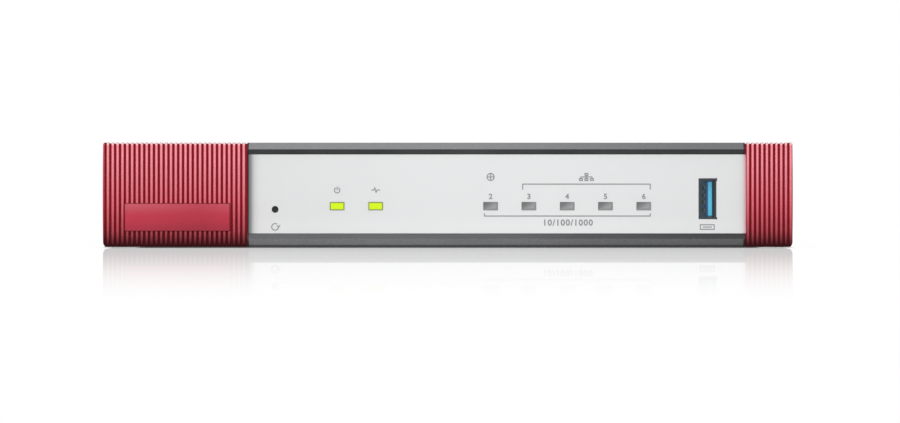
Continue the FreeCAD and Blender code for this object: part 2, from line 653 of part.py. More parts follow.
def board():
    """Circuit board, the standoffs under it and its screws."""
    plate = box(-BOARD_HALF, BOARD_HALF, BOARD_FRONT, BOARD_REAR, BOARD_Z, BOARD_TOP)
    plate = rounded(plate, 2.0, Z_AXIS).cut(board_holes(BOARD_HOLE_R, BOARD_Z - 1, 4))
    pins = [peg(1.2, 4, PROCESSOR[0] + sx * SINK_PIN_XY[0], PROCESSOR[1] + sy * SINK_PIN_XY[1],
                BOARD_Z - 1, Z_AXIS) for sx, sy in ((-1, 1), (1, -1))]
    floor_top = TRAY_UNDER + SHEET
    standoffs = []
    for s in (-1, 1):
        for y in BOARD_SCREW_Y:
            corners = [(s * BOARD_SCREW_X + 2.9 * math.cos(math.radians(60 * k)),
                        y + 2.9 * math.sin(math.radians(60 * k))) for k in range(6)]
            post = prism_z(corners, floor_top, BOARD_Z)
            standoffs.append(post.cut(peg(SCREW_PILOT, 5, s * BOARD_SCREW_X, y, floor_top + 0.4, Z_AXIS)))
    screws = [pan_screw(s * BOARD_SCREW_X, y, BOARD_TOP, Z_AXIS, 2.8, 1.8, 4.2)
              for s in (-1, 1) for y in BOARD_SCREW_Y]
    return {
        "main_board": plate.cut(pins),
        "board_standoffs": group(standoffs),
        "board_screws": group(screws),
    }


def heat_path():
    """Processor, thermal pad and the finned sink with its two spring pins."""
    cx, cy, side, tall = PROCESSOR
    chip = centred(cx, cy, BOARD_TOP + 0.5, side, side, 1.0)
    lid = centred(cx, cy, BOARD_TOP + 1.0 + (tall - 1.0) / 2, side - 5, side - 5, tall - 1.0)
    pad_low = BOARD_TOP + tall
    pad = centred(cx, cy, pad_low + PAD_THICK / 2, side - 4, side - 4, PAD_THICK)
    sink_low = pad_low + PAD_THICK
    width, deep = SINK_SIZE
    base = box(cx - width / 2, cx + width / 2, cy - deep / 2, cy + deep / 2, sink_low, sink_low + SINK_BASE)
    pitch = (width - 1.2) / (SINK_FINS - 1)
    fins = [prism_fin(cx - width / 2 + i * pitch, 1.2, 0.8, cy - deep / 2, cy + deep / 2,
                      sink_low + SINK_BASE, sink_low + SINK_HEIGHT) for i in range(SINK_FINS)]
    sink = join([base] + fins)
    pins = []
    for sx, sy in ((-1, 1), (1, -1)):
        x, y = cx + sx * SINK_PIN_XY[0], cy + sy * SINK_PIN_XY[1]
        sink = sink.cut(centred(x, y, sink_low + SINK_BASE + SINK_HEIGHT / 2, 8.4, 8.4, SINK_HEIGHT))
        sink = sink.cut(peg(1.3, SINK_HEIGHT, x, y, sink_low - 1, Z_AXIS))
        base_top = sink_low + SINK_BASE
        profile = [(1.15, BOARD_Z - 1.2), (1.15, base_top), (3.6, base_top),
                   (3.6, base_top + 4), (2.4, base_top + 5)]
        pins.append(faceted(profile, x, y, 0, Z_AXIS))
    return {
        "processor": join([chip, lid]),
        "thermal_pad": pad,
        "heat_sink": sink,
        "heat_sink_pins": group(pins),
    }


def prism_fin(x, foot, tip, y0, y1, z0, z1):
    """Fin that narrows a little from its foot to its tip."""
    lean = (foot - tip) / 2
    wire = Part.makePolygon([Vector(x, y0, z0), Vector(x + foot, y0, z0),
                             Vector(x + foot - lean, y0, z1), Vector(x + lean, y0, z1), Vector(x, y0, z0)])
    return Part.Face(wire).extrude(Vector(0, y1 - y0, 0))


def chip_body(x, y, z, width, deep, tall):
    """Moulded block whose four sides lean in above and below its waist."""
    lean = tall * 0.08
    rings = []
    for inset, height in ((lean, 0), (0, tall * 0.4), (lean, tall)):
        a, b = width / 2 - inset, deep / 2 - inset
        ring = [Vector(x + sx * a, y + sy * b, z + height) for sx, sy in ((-1, -1), (1, -1), (1, 1), (-1, 1))]
        rings.append(Part.makePolygon(ring + ring[:1]))
    return Part.makeLoft(rings, True, True)


def chip(place, size):
    """Flat chip that stands on the board at an (x, y) place."""
    return centred(place[0], place[1], BOARD_TOP + size[2] / 2, *size)


def small_parts():
    """Chips, transformers, capacitors and inductors on the board."""
    z = BOARD_TOP
    memory = [chip(xy, MEMORY_SIZE) for xy in MEMORY_XY]
    jack_rear = JACK_FACE - JACK_DEPTH
    bays = lan_bays() + [WAN_X]
    magnetics = [chip_body(x, jack_rear - TRANSFORMER_SET_BACK, z, *TRANSFORMER_SIZE) for x in bays]
    capacitors = [faceted(CAPACITOR_PROFILE, x, y, z, Z_AXIS, 10) for x, y in CAPACITOR_XY]
    inductors = [chip_body(x, y, z, *INDUCTOR_SIZE) for x, y in INDUCTOR_XY]
    return {
        "memory_chips": group(memory),
        "switch_chip": chip(SWITCH_CHIP_XY, SWITCH_CHIP_SIZE),
        "flash_chip": chip(FLASH_XY, FLASH_SIZE),
        "network_transformers": group(magnetics),
        "filter_capacitors": group(capacitors),
        "power_inductors": group(inductors),
    }


# ---------------------------------------------------------------- rear sockets


def lan_bays():
    """X of the four bays of the ganged socket."""
    return [LAN_X + (i - (LAN_BAYS - 1) / 2) * JACK_PITCH for i in range(LAN_BAYS)]


def jack_cavity(x):
    """Stepped mouth of a modular socket, with the latch at the bottom."""
    y0 = JACK_FACE - JACK_CAVITY_DEPTH
    y1 = JACK_FACE + 1
    tip_w, tip_h = JACK_LATCH_TIP
    latch_w, latch_h = JACK_LATCH
    main_w, main_h = JACK_MAIN
    z0 = JACK_FLOOR
    z1 = z0 + tip_h
    z2 = z1 + latch_h
    return join([box(x - tip_w / 2, x + tip_w / 2, y0, y1, z0, z1 + 0.1),
                 box(x - latch_w / 2, x + latch_w / 2, y0, y1, z1, z2 + 0.1),
                 box(x - main_w / 2, x + main_w / 2, y0, y1, z2, z2 + main_h)])


def jack_contacts(x):
    """Eight spring wires that slope down from the roof of one bay to its back."""
    roof = JACK_FLOOR + JACK_LATCH_TIP[1] + JACK_LATCH[1] + JACK_MAIN[1]
    back = JACK_FACE - JACK_CAVITY_DEPTH
    front = JACK_FACE - 2.6
    low = roof - 2.7
    points = [(back, low), (front, roof - 0.4), (JACK_FACE - 1.4, roof - 0.4),
              (JACK_FACE - 1.4, roof), (front - 0.2, roof), (back, low + 0.4)]
    return [prism_x(points, x + (k - 3.5) * CONTACT_PITCH - 0.2, x + (k - 3.5) * CONTACT_PITCH + 0.2)
            for k in range(8)]


def modular_socket(name, bays):
    """Housing, folded shield and contacts of one row of modular sockets."""
    shield = 0.25
    x0 = bays[0] - JACK_WIDTH / 2
    x1 = bays[-1] + JACK_WIDTH / 2
    y0 = JACK_FACE - JACK_DEPTH
    top = BOARD_TOP + JACK_HEIGHT
    housing = box(x0 + shield, x1 - shield, y0 + shield, JACK_FACE - shield, BOARD_TOP, top - shield)
    housing = housing.cut([jack_cavity(x) for x in bays])
    wrap = box(x0, x1, y0, JACK_FACE, BOARD_TOP, top)
    wrap = wrap.cut(box(x0 + shield, x1 - shield, y0 + shield, JACK_FACE - shield,
                        BOARD_TOP - 1, top - shield))
    wrap = wrap.cut([jack_cavity(x) for x in bays])
    contacts = [wire for x in bays for wire in jack_contacts(x)]
    return {name + "_housing": housing, name + "_shield": wrap, name + "_contacts": group(contacts)}


def sfp_socket():
    """Folded cage for a plug-in transceiver, and the edge connector at its back."""
    wall = 0.4
    width, tall = SFP_SIZE
    front = PANEL_Y + 0.9
    rear = front - SFP_DEPTH
    low, high = SFP_LOW, SFP_LOW + tall
    cage = box(SFP_X - width / 2, SFP_X + width / 2, rear, front, low, high)
    cage = cage.cut(box(SFP_X - width / 2 + wall, SFP_X + width / 2 - wall, rear + wall, front + 1,
                        low + wall, high - wall))
    latch_hole = prism_z([(SFP_X - 1.6, front - 10.5), (SFP_X + 1.6, front - 10.5), (SFP_X, front - 7.6)],
                         low - 1, low + 1)
    vents = [peg(1.0, 3, SFP_X + dx, rear + 12 + dy, high - 1.5, Z_AXIS, 6)
             for dx in (-3.5, 0, 3.5) for dy in (0, 4.5, 9)]
    rails = [box(SFP_X + s * (width / 2 - 1.0) - 0.6, SFP_X + s * (width / 2 - 1.0) + 0.6,
                 rear + 2, rear + 2.6, BOARD_TOP, low) for s in (-1, 1)]
    cage = join([cage.cut([latch_hole] + vents)] + rails)
    block = box(SFP_X - 6.0, SFP_X + 6.0, rear + 1, rear + 9, low + wall, low + wall + 5.6)
    slot = box(SFP_X - 5.0, SFP_X + 5.0, rear + 3, rear + 10, low + wall + 2.4, low + wall + 3.5)
    return {"sfp_cage": cage, "sfp_connector": block.cut(slot)}


def dc_inlet():
    """Barrel inlet: housing with a round mouth, centre pin and side contact."""
    width, tall = DC_SIZE
    front = PANEL_Y + 0.3
    rear = front - DC_DEPTH
    body = box(DC_X - width / 2, DC_X + width / 2, rear, front, BOARD_TOP, BOARD_TOP + tall)
    body = rounded(body, 1.2, Y_AXIS, lambda p: p.z > BOARD_TOP + 5)
    body = body.cut(rod(3.15, 9.6, DC_X, front - 9.5, DC_AXIS_Z, Y_AXIS))
    body = body.cut(rod(1.0, 3, DC_X, front - 11.6, DC_AXIS_Z, Y_AXIS))
    pin = turned([(0, 0), (1.0, 0), (1.0, 10.3), (0.7, 10.7), (0, 10.7)],
                 DC_X, front - 11.5, DC_AXIS_Z, Y_AXIS)
    leaf = box(DC_X - 0.9, DC_X + 0.9, front - 9.4, front - 3.0, DC_AXIS_Z - 3.0, DC_AXIS_Z - 2.7)
    return {"dc_inlet_housing": body, "dc_inlet_pin": pin, "dc_inlet_contact": leaf}


def rocker(tilt):
    """Rocker with a shallow V top and two side pivots, turned by tilt degrees about its pivot."""
    length, half = ROCKER_HALF
    rise = SWITCH_FACE - PIVOT_Y
    profile = [(-length, rise + 0.15), (-0.4, rise - 0.8), (0.4, rise - 0.8), (length, rise + 0.15),
               (length, rise - 1.6), (3.4, -2.4), (-3.4, -2.4), (-length, rise - 1.6)]
    points = [(SWITCH_X + u, PIVOT_Y + v) for u, v in profile]
    body = prism_z(points, SWITCH_Z - half, SWITCH_Z + half)
    body = rounded(body, 0.5, Z_AXIS, lambda p: p.y > PIVOT_Y + rise - 0.2)
    pivots = rod(PIVOT_R, 2 * (half + 0.6), SWITCH_X, PIVOT_Y, SWITCH_Z - half - 0.6, Z_AXIS)
    solid = join([body, pivots])
    solid.rotate(Vector(SWITCH_X, PIVOT_Y, 0), Z_AXIS, tilt)
    return solid


def power_switch():
    """Panel rocker switch on the board: housing with a flange, rocker and two terminals."""
    body_w, body_h = SWITCH_BODY
    flange_w, flange_h = SWITCH_FLANGE
    rear = PANEL_Y - 12.5
    body = centred(SWITCH_X, (rear + PANEL_Y) / 2, SWITCH_Z, body_w, PANEL_Y - rear, body_h)
    flange = centred(SWITCH_X, (PANEL_Y + SWITCH_FACE) / 2, SWITCH_Z,
                     flange_w, SWITCH_FACE - PANEL_Y, flange_h)
    flange = rounded(flange, 1.0, Y_AXIS)
    foot = box(SWITCH_X - body_w / 2, SWITCH_X + body_w / 2, rear, rear + 8, BOARD_TOP, SWITCH_Z)
    window_w, window_h = WINDOW_HALF
    cavity = box(SWITCH_X - window_w, SWITCH_X + window_w, PIVOT_Y - 4.2, SWITCH_FACE + 1,
                 SWITCH_Z - window_h, SWITCH_Z + window_h)
    bearing = rod(PIVOT_R + PIVOT_CLEARANCE, 2 * (ROCKER_HALF[1] + 0.75), SWITCH_X, PIVOT_Y,
                  SWITCH_Z - ROCKER_HALF[1] - 0.75, Z_AXIS)
    housing = join([body, flange, foot]).cut([cavity, bearing])
    terminals = [box(SWITCH_X + s * 3.5 - 1.0, SWITCH_X + s * 3.5 + 1.0, rear - 4.0, rear,
                     SWITCH_Z - 0.4, SWITCH_Z + 0.4) for s in (-1, 1)]
    return {
        "power_switch_housing": housing,
        "power_rocker": rocker(-ROCKER_TILT),
        "power_switch_terminals": group(terminals),
    }


def pieces():
    """Every node of the appliance."""
    made = {"front_frame": front_frame(), "faceplate": faceplate()}
    made.update(caps())
    made.update(lamps())
    made.update(reset_button())
    made.update(usb_socket())
    made.update({"top_cover": top_cover(), "base_tray": base_tray(), "rear_panel": rear_panel(),
                 "rubber_feet": feet()})
    made.update(case_screws())
    made.update(board())
    made.update(heat_path())
    made.update(small_parts())
    made.update(modular_socket("lan_socket", lan_bays()))
    made.update(modular_socket("wan_socket", [WAN_X]))
    made.update(modular_socket("console_socket", [CONSOLE_X]))
    made.update(sfp_socket())
    made.update(dc_inlet())
    made.update(power_switch())
    return made


os.makedirs("parts", exist_ok=True)
for node, shape in pieces().items():
    shape.exportStep("parts/" + node + ".step")
    box_ = shape.BoundBox
    print(f"{node:26s} solids {len(shape.Solids):3d} valid {shape.isValid()} "
          f"x {box_.XMin:8.2f} {box_.XMax:8.2f} y {box_.YMin:7.2f} {box_.YMax:7.2f} "
          f"z {box_.ZMin:6.2f} {box_.ZMax:6.2f}")
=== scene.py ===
"""Desktop firewall appliance: the looks of a flat metal box with a moulded, ribbed front.

Everything is in metres, +Z up, front towards -Y. Sizes in the classes are in millimetres.
"""

import json
import logging
from dataclasses import dataclass, field
from enum import Enum
from math import atan2, cos, hypot, pi, radians, sin
from typing import Callable, Dict, List, Optional, Sequence, Tuple, Union

import bmesh
import bpy
from bmesh.types import BMesh
from bpy.types import Material, Mesh, Node, NodeSocket, Object, World
from mathutils import Matrix, Vector

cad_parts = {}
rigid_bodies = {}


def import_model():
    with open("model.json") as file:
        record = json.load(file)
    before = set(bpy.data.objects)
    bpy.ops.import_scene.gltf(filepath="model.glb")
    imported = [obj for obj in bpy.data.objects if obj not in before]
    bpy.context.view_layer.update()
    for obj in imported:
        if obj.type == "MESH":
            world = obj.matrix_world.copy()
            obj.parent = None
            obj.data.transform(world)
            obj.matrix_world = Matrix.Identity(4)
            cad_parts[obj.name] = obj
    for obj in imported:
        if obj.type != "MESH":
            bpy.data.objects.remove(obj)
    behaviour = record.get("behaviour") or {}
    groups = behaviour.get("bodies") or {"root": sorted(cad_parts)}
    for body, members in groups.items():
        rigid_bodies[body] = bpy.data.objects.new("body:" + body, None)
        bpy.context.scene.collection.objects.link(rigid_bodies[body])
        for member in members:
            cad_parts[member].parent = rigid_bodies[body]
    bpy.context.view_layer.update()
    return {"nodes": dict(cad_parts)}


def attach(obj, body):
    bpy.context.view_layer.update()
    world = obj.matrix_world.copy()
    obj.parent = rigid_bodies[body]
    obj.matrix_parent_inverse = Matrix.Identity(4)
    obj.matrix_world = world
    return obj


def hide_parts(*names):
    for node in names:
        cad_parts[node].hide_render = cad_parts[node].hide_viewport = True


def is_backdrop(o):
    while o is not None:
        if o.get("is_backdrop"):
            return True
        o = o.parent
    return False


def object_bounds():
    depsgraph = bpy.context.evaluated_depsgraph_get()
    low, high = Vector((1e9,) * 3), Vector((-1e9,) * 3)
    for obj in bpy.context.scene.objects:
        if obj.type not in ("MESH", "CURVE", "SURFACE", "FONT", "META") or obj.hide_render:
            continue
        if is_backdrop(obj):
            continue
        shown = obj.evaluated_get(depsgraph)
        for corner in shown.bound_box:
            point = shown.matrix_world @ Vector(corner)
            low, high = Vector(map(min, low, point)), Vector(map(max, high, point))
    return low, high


LOG = logging.getLogger("firewall_appliance")
MM = 0.001
Colour = Tuple[float, float, float]
Pair = Tuple[float, float]
Point = Tuple[float, float, float]
Path = Tuple[Pair, ...]
Looks = Dict[str, Material]
BLACK = (0.0, 0.0, 0.0)
WHITE = (1.0, 1.0, 1.0)

# Millimetres: the distance at which points are merged, the places of the lit lamps and of the
# first port lamp along the front, and the distance from one port lamp to the next.
JOIN = 0.002
LIT_LAMPS = (-34.66, -22.58)
PORT_X = 13.42
PORT_PITCH = 12.0


def rgb(red: int, green: int, blue: int) -> Colour:
    """Returns the linear colour of three display values from 0 to 255."""
    def linear(value: float) -> float:
        """Returns one display value, 0 to 1, as linear light."""
        return value / 12.92 if value <= 0.04045 else ((value + 0.055) / 1.055) ** 2.4
    return (linear(red / 255), linear(green / 255), linear(blue / 255))


def shade(colour: Colour, factor: float) -> Colour:
    """Returns a linear colour made darker or lighter by a factor."""
    return (colour[0] * factor, colour[1] * factor, colour[2] * factor)


# ---------------- shader arithmetic

def maths(operation: str, turned: bool = False) -> Callable[..., "Wire"]:
    """Returns a method that puts a Math node on a value and those it is given.

    Args:
        operation: the node's operation.
        turned: whether the given value comes first, as a minuend does.
    """
    def work(self: "Wire", *others: Union["Wire", float]) -> "Wire":
        """Returns the node's result."""
        values = others + (self,) if turned else (self,) + others
        return self.paint.make("Math", dict(enumerate(values)), operation=operation)
    return work


class Wire:
    """A shader socket that Python's operators work on, each adding its Math node."""

    __add__ = __radd__ = maths("ADD")
    __sub__ = maths("SUBTRACT")
    __rsub__ = maths("SUBTRACT", turned=True)
    __mul__ = __rmul__ = maths("MULTIPLY")
    __truediv__ = maths("DIVIDE")
    __pow__ = maths("POWER")
    __gt__ = maths("GREATER_THAN")
    __lt__ = maths("LESS_THAN")
    __abs__ = maths("ABSOLUTE")
    largest = maths("MAXIMUM")
    smallest = maths("MINIMUM")
    fraction = maths("FRACT")
    sine = maths("SINE")

    def __init__(self, paint: "Paint", socket: NodeSocket) -> None:
        """Holds the socket and the tree builder it belongs to."""
        self.paint = paint
        self.socket = socket

    def ramp(self, start: float, end: float) -> "Wire":
        """Returns 0 at start and 1 at end, held beyond both, and smooth between."""
        sockets = {"Value": self, "From Min": start, "From Max": end}
        return self.paint.make("MapRange", sockets, interpolation_type="SMOOTHSTEP")


Input = Union[Wire, float, Sequence[float]]
Inputs = Dict[str, Input]


class Paint:
    """Builds the node tree of one material or of the world."""

    def __init__(self, block: Union[Material, World]) -> None:
        """Starts with an empty tree."""
        block.use_nodes = True
        self.tree = block.node_tree
        self.tree.nodes.clear()

    def node(self, kind: str, sockets: Optional[Dict[Union[str, int], Input]] = None,
             **settings: str) -> Node:
        """Makes a node of any kind.

        Args:
            kind: its type, without the words that all types begin with.
            sockets: values or links by input name or number.
            settings: its properties, which are set first.

        Returns:
            The node.
        """
        made = self.tree.nodes.new("ShaderNode" + kind)
        for key, value in settings.items():
            setattr(made, key, value)
        for key, value in (sockets or {}).items():
            if isinstance(value, Wire):
                self.tree.links.new(value.socket, made.inputs[key])
            elif isinstance(value, tuple) and made.inputs[key].type == "RGBA":
                made.inputs[key].default_value = (*value, 1.0)
            else:
                made.inputs[key].default_value = value
        return made

    def make(self, kind: str, sockets: Optional[Dict[Union[str, int], Input]] = None,
             output: Union[str, int] = 0, **settings: str) -> Wire:
        """Makes a node as node() does and returns one of its outputs."""
        return Wire(self, self.node(kind, sockets, **settings).outputs[output])

    def place(self) -> Wire:
        """Returns the object's own coordinates."""
        return self.make("TexCoord", output="Object")

    def axes(self) -> Tuple[Wire, Wire, Wire]:
        """Returns the object's coordinates one by one, in millimetres."""
        split = self.node("SeparateXYZ", {0: self.place()})
        x, y, z = (Wire(self, split.outputs[index]) / MM for index in range(3))
        return x, y, z

    def noise(self, size: float, detail: float = 2.0, stretch: Point = (1, 1, 1)) -> Wire:
        """Returns noise from about 0 to 1.

        Args:
            size: width of its patches in millimetres.
            detail: number of finer layers.
            stretch: how much denser it is along each axis.
        """
        sized = self.make("VectorMath", {0: self.place(), 1: stretch}, operation="MULTIPLY")
        return self.make("TexNoise", {"Vector": sized, "Scale": 1 / (size * MM), "Detail": detail})

    def blend(self, factor: Input, first: Input, second: Input) -> Wire:
        """Returns a colour between two, by a factor from 0 to 1."""
        return self.make("Mix", {0: factor, 6: first, 7: second}, 2, data_type="RGBA")

    def coats(self, colour: Input, *coats: Tuple[Input, Input]) -> Input:
        """Returns a colour with others laid over it, each with its cover from 0 to 1."""
        for cover, over in coats:
            colour = self.blend(cover, colour, over)
        return colour

    def mottle(self, factor: Wire, colour: Colour, low: float, high: float) -> Wire:
        """Returns a colour that varies between two shades of itself."""
        return self.blend(factor, shade(colour, low), shade(colour, high))

    def relief(self, height: Wire, depth: float) -> Wire:
        """Returns a bumped normal for a height from 0 to 1 and a depth in millimetres."""
        return self.make("Bump", {"Height": height, "Distance": depth * MM})

    def finish(self, inputs: Inputs) -> None:
        """Closes the tree with a Principled shader; its inputs have underscores for spaces."""
        named = {key.replace("_", " "): value for key, value in inputs.items()}
        shader = self.make("BsdfPrincipled", named)
        self.node("OutputMaterial", {"Surface": shader})


# ---------------- finishes

@dataclass(frozen=True)
class Finish:
    """The look of one material slot."""

    name: str

    def build(self) -> Material:
        """Returns the material."""
        material = bpy.data.materials.new(self.name)
        paint = Paint(material)
        paint.finish(self.inputs(paint))
        return material


@dataclass(frozen=True)
class Moulded(Finish):
    """Injection-moulded plastic with a fine spark grain."""

    colour: Colour
    roughness: float = 0.45
    grain: float = 0.35
    relief: float = 0.02
    mottle: float = 0.05
    specular: float = 0.5

    def inputs(self, paint: Paint) -> Inputs:
        """Returns the shader's inputs."""
        patches = paint.noise(9.0, 3.0)
        grain = paint.noise(self.grain, 2.0)
        colour = paint.mottle(patches * 0.6 + grain * 0.4, self.colour, 1 - self.mottle,
                              1 + self.mottle)
        return dict(Base_Color=colour, Roughness=self.roughness + (patches - 0.5) * 0.12,
                    Normal=paint.relief(grain, self.relief),
                    Specular_IOR_Level=self.specular)


@dataclass(frozen=True)
class Bezel(Finish):
    """Moulded frame: spark-eroded outer bands and smooth dark inner bands beside the plate, with
    painted light and shade: the upper outer band lighter, the upper inner band darker as shade under
    the lip, darker towards the right, and dark along the foot and in the gaps beside the caps.
    """

    outer: Colour
    lower: Colour
    # painted shade: the upper inner band, under the lip, is much darker than the lower one
    upper: Colour
    # dark colour of the painted shade along the foot and in the gaps beside the caps
    edge: Colour
    middle_z: float = 16.9
    ridge: float = 14.0
    gap: Pair = (-62.3, 92.6)

    def inputs(self, paint: Paint) -> Inputs:
        """Returns the shader's inputs."""
        x, y, z = paint.axes()
        inside = 1 - abs(z - self.middle_z).ramp(self.ridge - 0.06, self.ridge + 0.06)
        high = z > self.middle_z
        grain = paint.noise(0.42, 3.0)
        patches = paint.noise(12.0, 2.0, (0.4, 1, 1))
        coarse = (grain - 0.5) * (1 - inside)
        # painted light: the upper outer band is lighter and the lower one darker, as light falls from
        # above
        outer = paint.mottle(high, self.outer, 0.90, 1.04)
        sparks = (coarse * 1.3 + patches * 0.25).largest(0.0)
        # painted shade: darker towards the right, more on the lower inner band and less on the upper
        # one
        painted_shade_rightward = x.ramp(-5.0, 95.0) * (0.34 + inside * (1 - high) * 0.50 - inside * high * 0.14)
        # painted shade: a dark line along the foot, and in the gaps between the frame and the caps
        foot = 1 - z.ramp(0.75, 1.15)
        cap_gap_shade = (x < self.gap[0]).largest(x > self.gap[1])
        colour = paint.coats(outer, (inside, paint.blend(high, self.lower, self.upper)),
                             (sparks, shade(self.outer, 1.5)), (painted_shade_rightward, BLACK),
                             ((foot * 0.7).largest(cap_gap_shade * 0.93), self.edge))
        return dict(Base_Color=colour, Roughness=0.55 - inside * 0.15,
                    Normal=paint.relief(coarse, 0.05), Specular_IOR_Level=0.22)


@dataclass(frozen=True)
class Powder(Finish):
    """Powder paint on sheet steel: a soft orange-peel skin."""

    colour: Colour
    roughness: float = 0.5
    peel: float = 0.7
    relief: float = 0.03

    def inputs(self, paint: Paint) -> Inputs:
        """Returns the shader's inputs."""
        peel = paint.noise(self.peel, 3.0)
        dust = paint.noise(26.0, 4.0)
        specks = paint.noise(0.22, 1.0).ramp(0.62, 0.75)
        colour = paint.mottle(dust, self.colour, 0.94, 1.05)
        colour = paint.blend(specks * 0.25, colour, shade(self.colour, 1.35))
        return dict(Base_Color=colour, Roughness=self.roughness + (dust - 0.5) * 0.15,
                    Normal=paint.relief(peel, self.relief))


@dataclass(frozen=True)
class Metal(Finish):
    """Bare or plated metal, drawn in one direction."""

    colour: Colour
    roughness: float = 0.3
    drawn: Point = (1, 1, 1)
    lines: float = 0.4
    relief: float = 0.006
    metallic: float = 1.0

    def inputs(self, paint: Paint) -> Inputs:
        """Returns the shader's inputs."""
        lines = paint.noise(self.lines, 3.0, self.drawn)
        stain = paint.noise(7.0, 4.0)
        colour = paint.mottle(stain, self.colour, 0.86, 1.04)
        roughness = self.roughness + (lines - 0.5) * 0.16 + (stain - 0.5) * 0.12
        return dict(Base_Color=colour, Metallic=self.metallic, Roughness=roughness,
                    Normal=paint.relief(lines, self.relief))


@dataclass(frozen=True)
class Silver(Finish):
    """Satin silver lacquer on the faceplate: flakes too fine to see one by one."""

    colour: Colour
    # pink of the painted reflection of the right cap
    glow: Colour
    left: float = -62.4
    right: float = 93.5

    def inputs(self, paint: Paint) -> Inputs:
        """Returns the shader's inputs, with painted light and shade: lighter in the middle and
        towards the bottom, a painted shadow beside the left cap, and beside the right cap a painted
        shade and a pink painted reflection of it.
        """
        x, y, z = paint.axes()
        flakes = paint.noise(0.14, 2.0)
        cloud = paint.noise(40.0, 2.0, (0.5, 1, 2))
        # painted light: lighter in the middle and towards the bottom
        middle = 1 - abs(x - 15.0).ramp(10.0, 85.0)
        low = 1 - z.ramp(4.5, 12.0)
        # painted shadow of the left cap, darkest in the first millimetres
        left_cap_shadow = 1 - x.ramp(self.left, self.left + 5.0)
        left_edge_shade = 1 - x.ramp(self.left + 0.1, self.left + 1.9)
        colour = paint.coats(paint.mottle(flakes * 0.5 + cloud * 0.5, self.colour, 0.965, 1.03),
                             (middle * 0.16 + low * 0.14, (0.86, 0.86, 0.86)),
                             (left_cap_shadow * left_cap_shadow * 0.42, shade(self.colour, 0.2)),
                             (left_edge_shade * 0.65, (0.004, 0.004, 0.006)),
                             # painted shade beside the right cap, then the pink painted reflection of
                             # it
                             (x.ramp(self.right - 2.6, self.right) * 0.08, BLACK),
                             (x.ramp(self.right - 1.5, self.right - 0.3) * 0.5, self.glow))
        return dict(Base_Color=colour, Metallic=0.25, Roughness=0.5 + (flakes - 0.5) * 0.2,
                    Normal=paint.relief(flakes, 0.0015))


@dataclass(frozen=True)
class RibbedGloss(Finish):
    """Glossy red plastic of the caps, with painted light and shade: pale crests as a painted
    highlight, dark grooves as painted shade, darker towards the foot, lighter towards the top and a
    painted highlight along the top edge.
    """

    crest: Colour
    groove: Colour
    crest_y: float
    depth: float
    half: float
    # pink of the painted highlight that grows towards the top
    bloom: Colour = (1.0, 0.33, 0.39)

    def inputs(self, paint: Paint) -> Inputs:
        """Returns the shader's inputs."""
        x, y, z = paint.axes()
        # the grooves take the painted shade; so does the outer flank of the corner rib
        inward = (y - self.crest_y).smallest(self.half - abs(x))
        sunk = inward.ramp(self.depth * 0.12, self.depth * 0.70)
        edge = abs(x).ramp(self.half - 0.65, self.half - 0.15) * (y < self.crest_y + 1.2)
        sunk = sunk.largest(edge * 0.8)
        # painted shade: darker towards the foot
        foot = 1 - z.ramp(0.1, 6.4)
        colour = paint.coats(self.crest, (sunk, self.groove), (foot * 0.91, shade(self.groove, 0.10)),
                             # painted shade: darker towards the bottom
                             ((1 - z.ramp(3.0, 15.0)) * 0.32, BLACK),
                             # painted light towards the top, and a painted highlight on the crests'
                             # top edge
                             (z.ramp(4.0, 30.0) * 0.55 * (1 - sunk), self.bloom),
                             (z.ramp(31.9, 32.9) * 0.7 * (1 - sunk), (1.0, 0.80, 0.84)))
        grain = paint.noise(0.6, 2.0)
        patches = paint.noise(14.0, 3.0)
        return dict(Base_Color=colour, Roughness=0.34 + patches * 0.12 + sunk * 0.2,
                    Coat_Weight=(1 - sunk) * (1 - foot), Coat_Roughness=0.14,
                    Specular_IOR_Level=0.12, Normal=paint.relief(grain, 0.008))


@dataclass(frozen=True)
class Gradient(Finish):
    """Smooth lacquer, painted a little darker towards its foot as shade, with a painted highlight
    towards its top and its ends.
    """

    # colours from the foot upwards: the change with height is painted shade and light
    low: Colour
    middle: Colour
    high: Colour
    low_z: float
    high_z: float

    def inputs(self, paint: Paint) -> Inputs:
        """Returns the shader's inputs."""
        x, y, z = paint.axes()
        half_z = (self.low_z + self.high_z) / 2
        rise = z.ramp(half_z, self.high_z)
        cloud = paint.noise(8.0, 3.0)
        # painted highlight over the left part and at the right end, paler towards the top, with some
        # random cloud
        lift = 1 - x.ramp(-101.0, -74.0) + x.ramp(-78.0, -68.0) * 0.6
        pale = paint.blend(rise, (1.0, 0.08, 0.14), (1.0, 0.42, 0.48))
        colour = paint.coats(self.low, (z.ramp(self.low_z, half_z), self.middle),
                             (rise, self.high), (lift * 0.10 + cloud * 0.03, pale))
        return dict(Base_Color=colour, Roughness=0.36 + cloud * 0.08,
                    Specular_IOR_Level=0.25,
                    Normal=paint.relief(paint.noise(0.3, 2.0), 0.003))


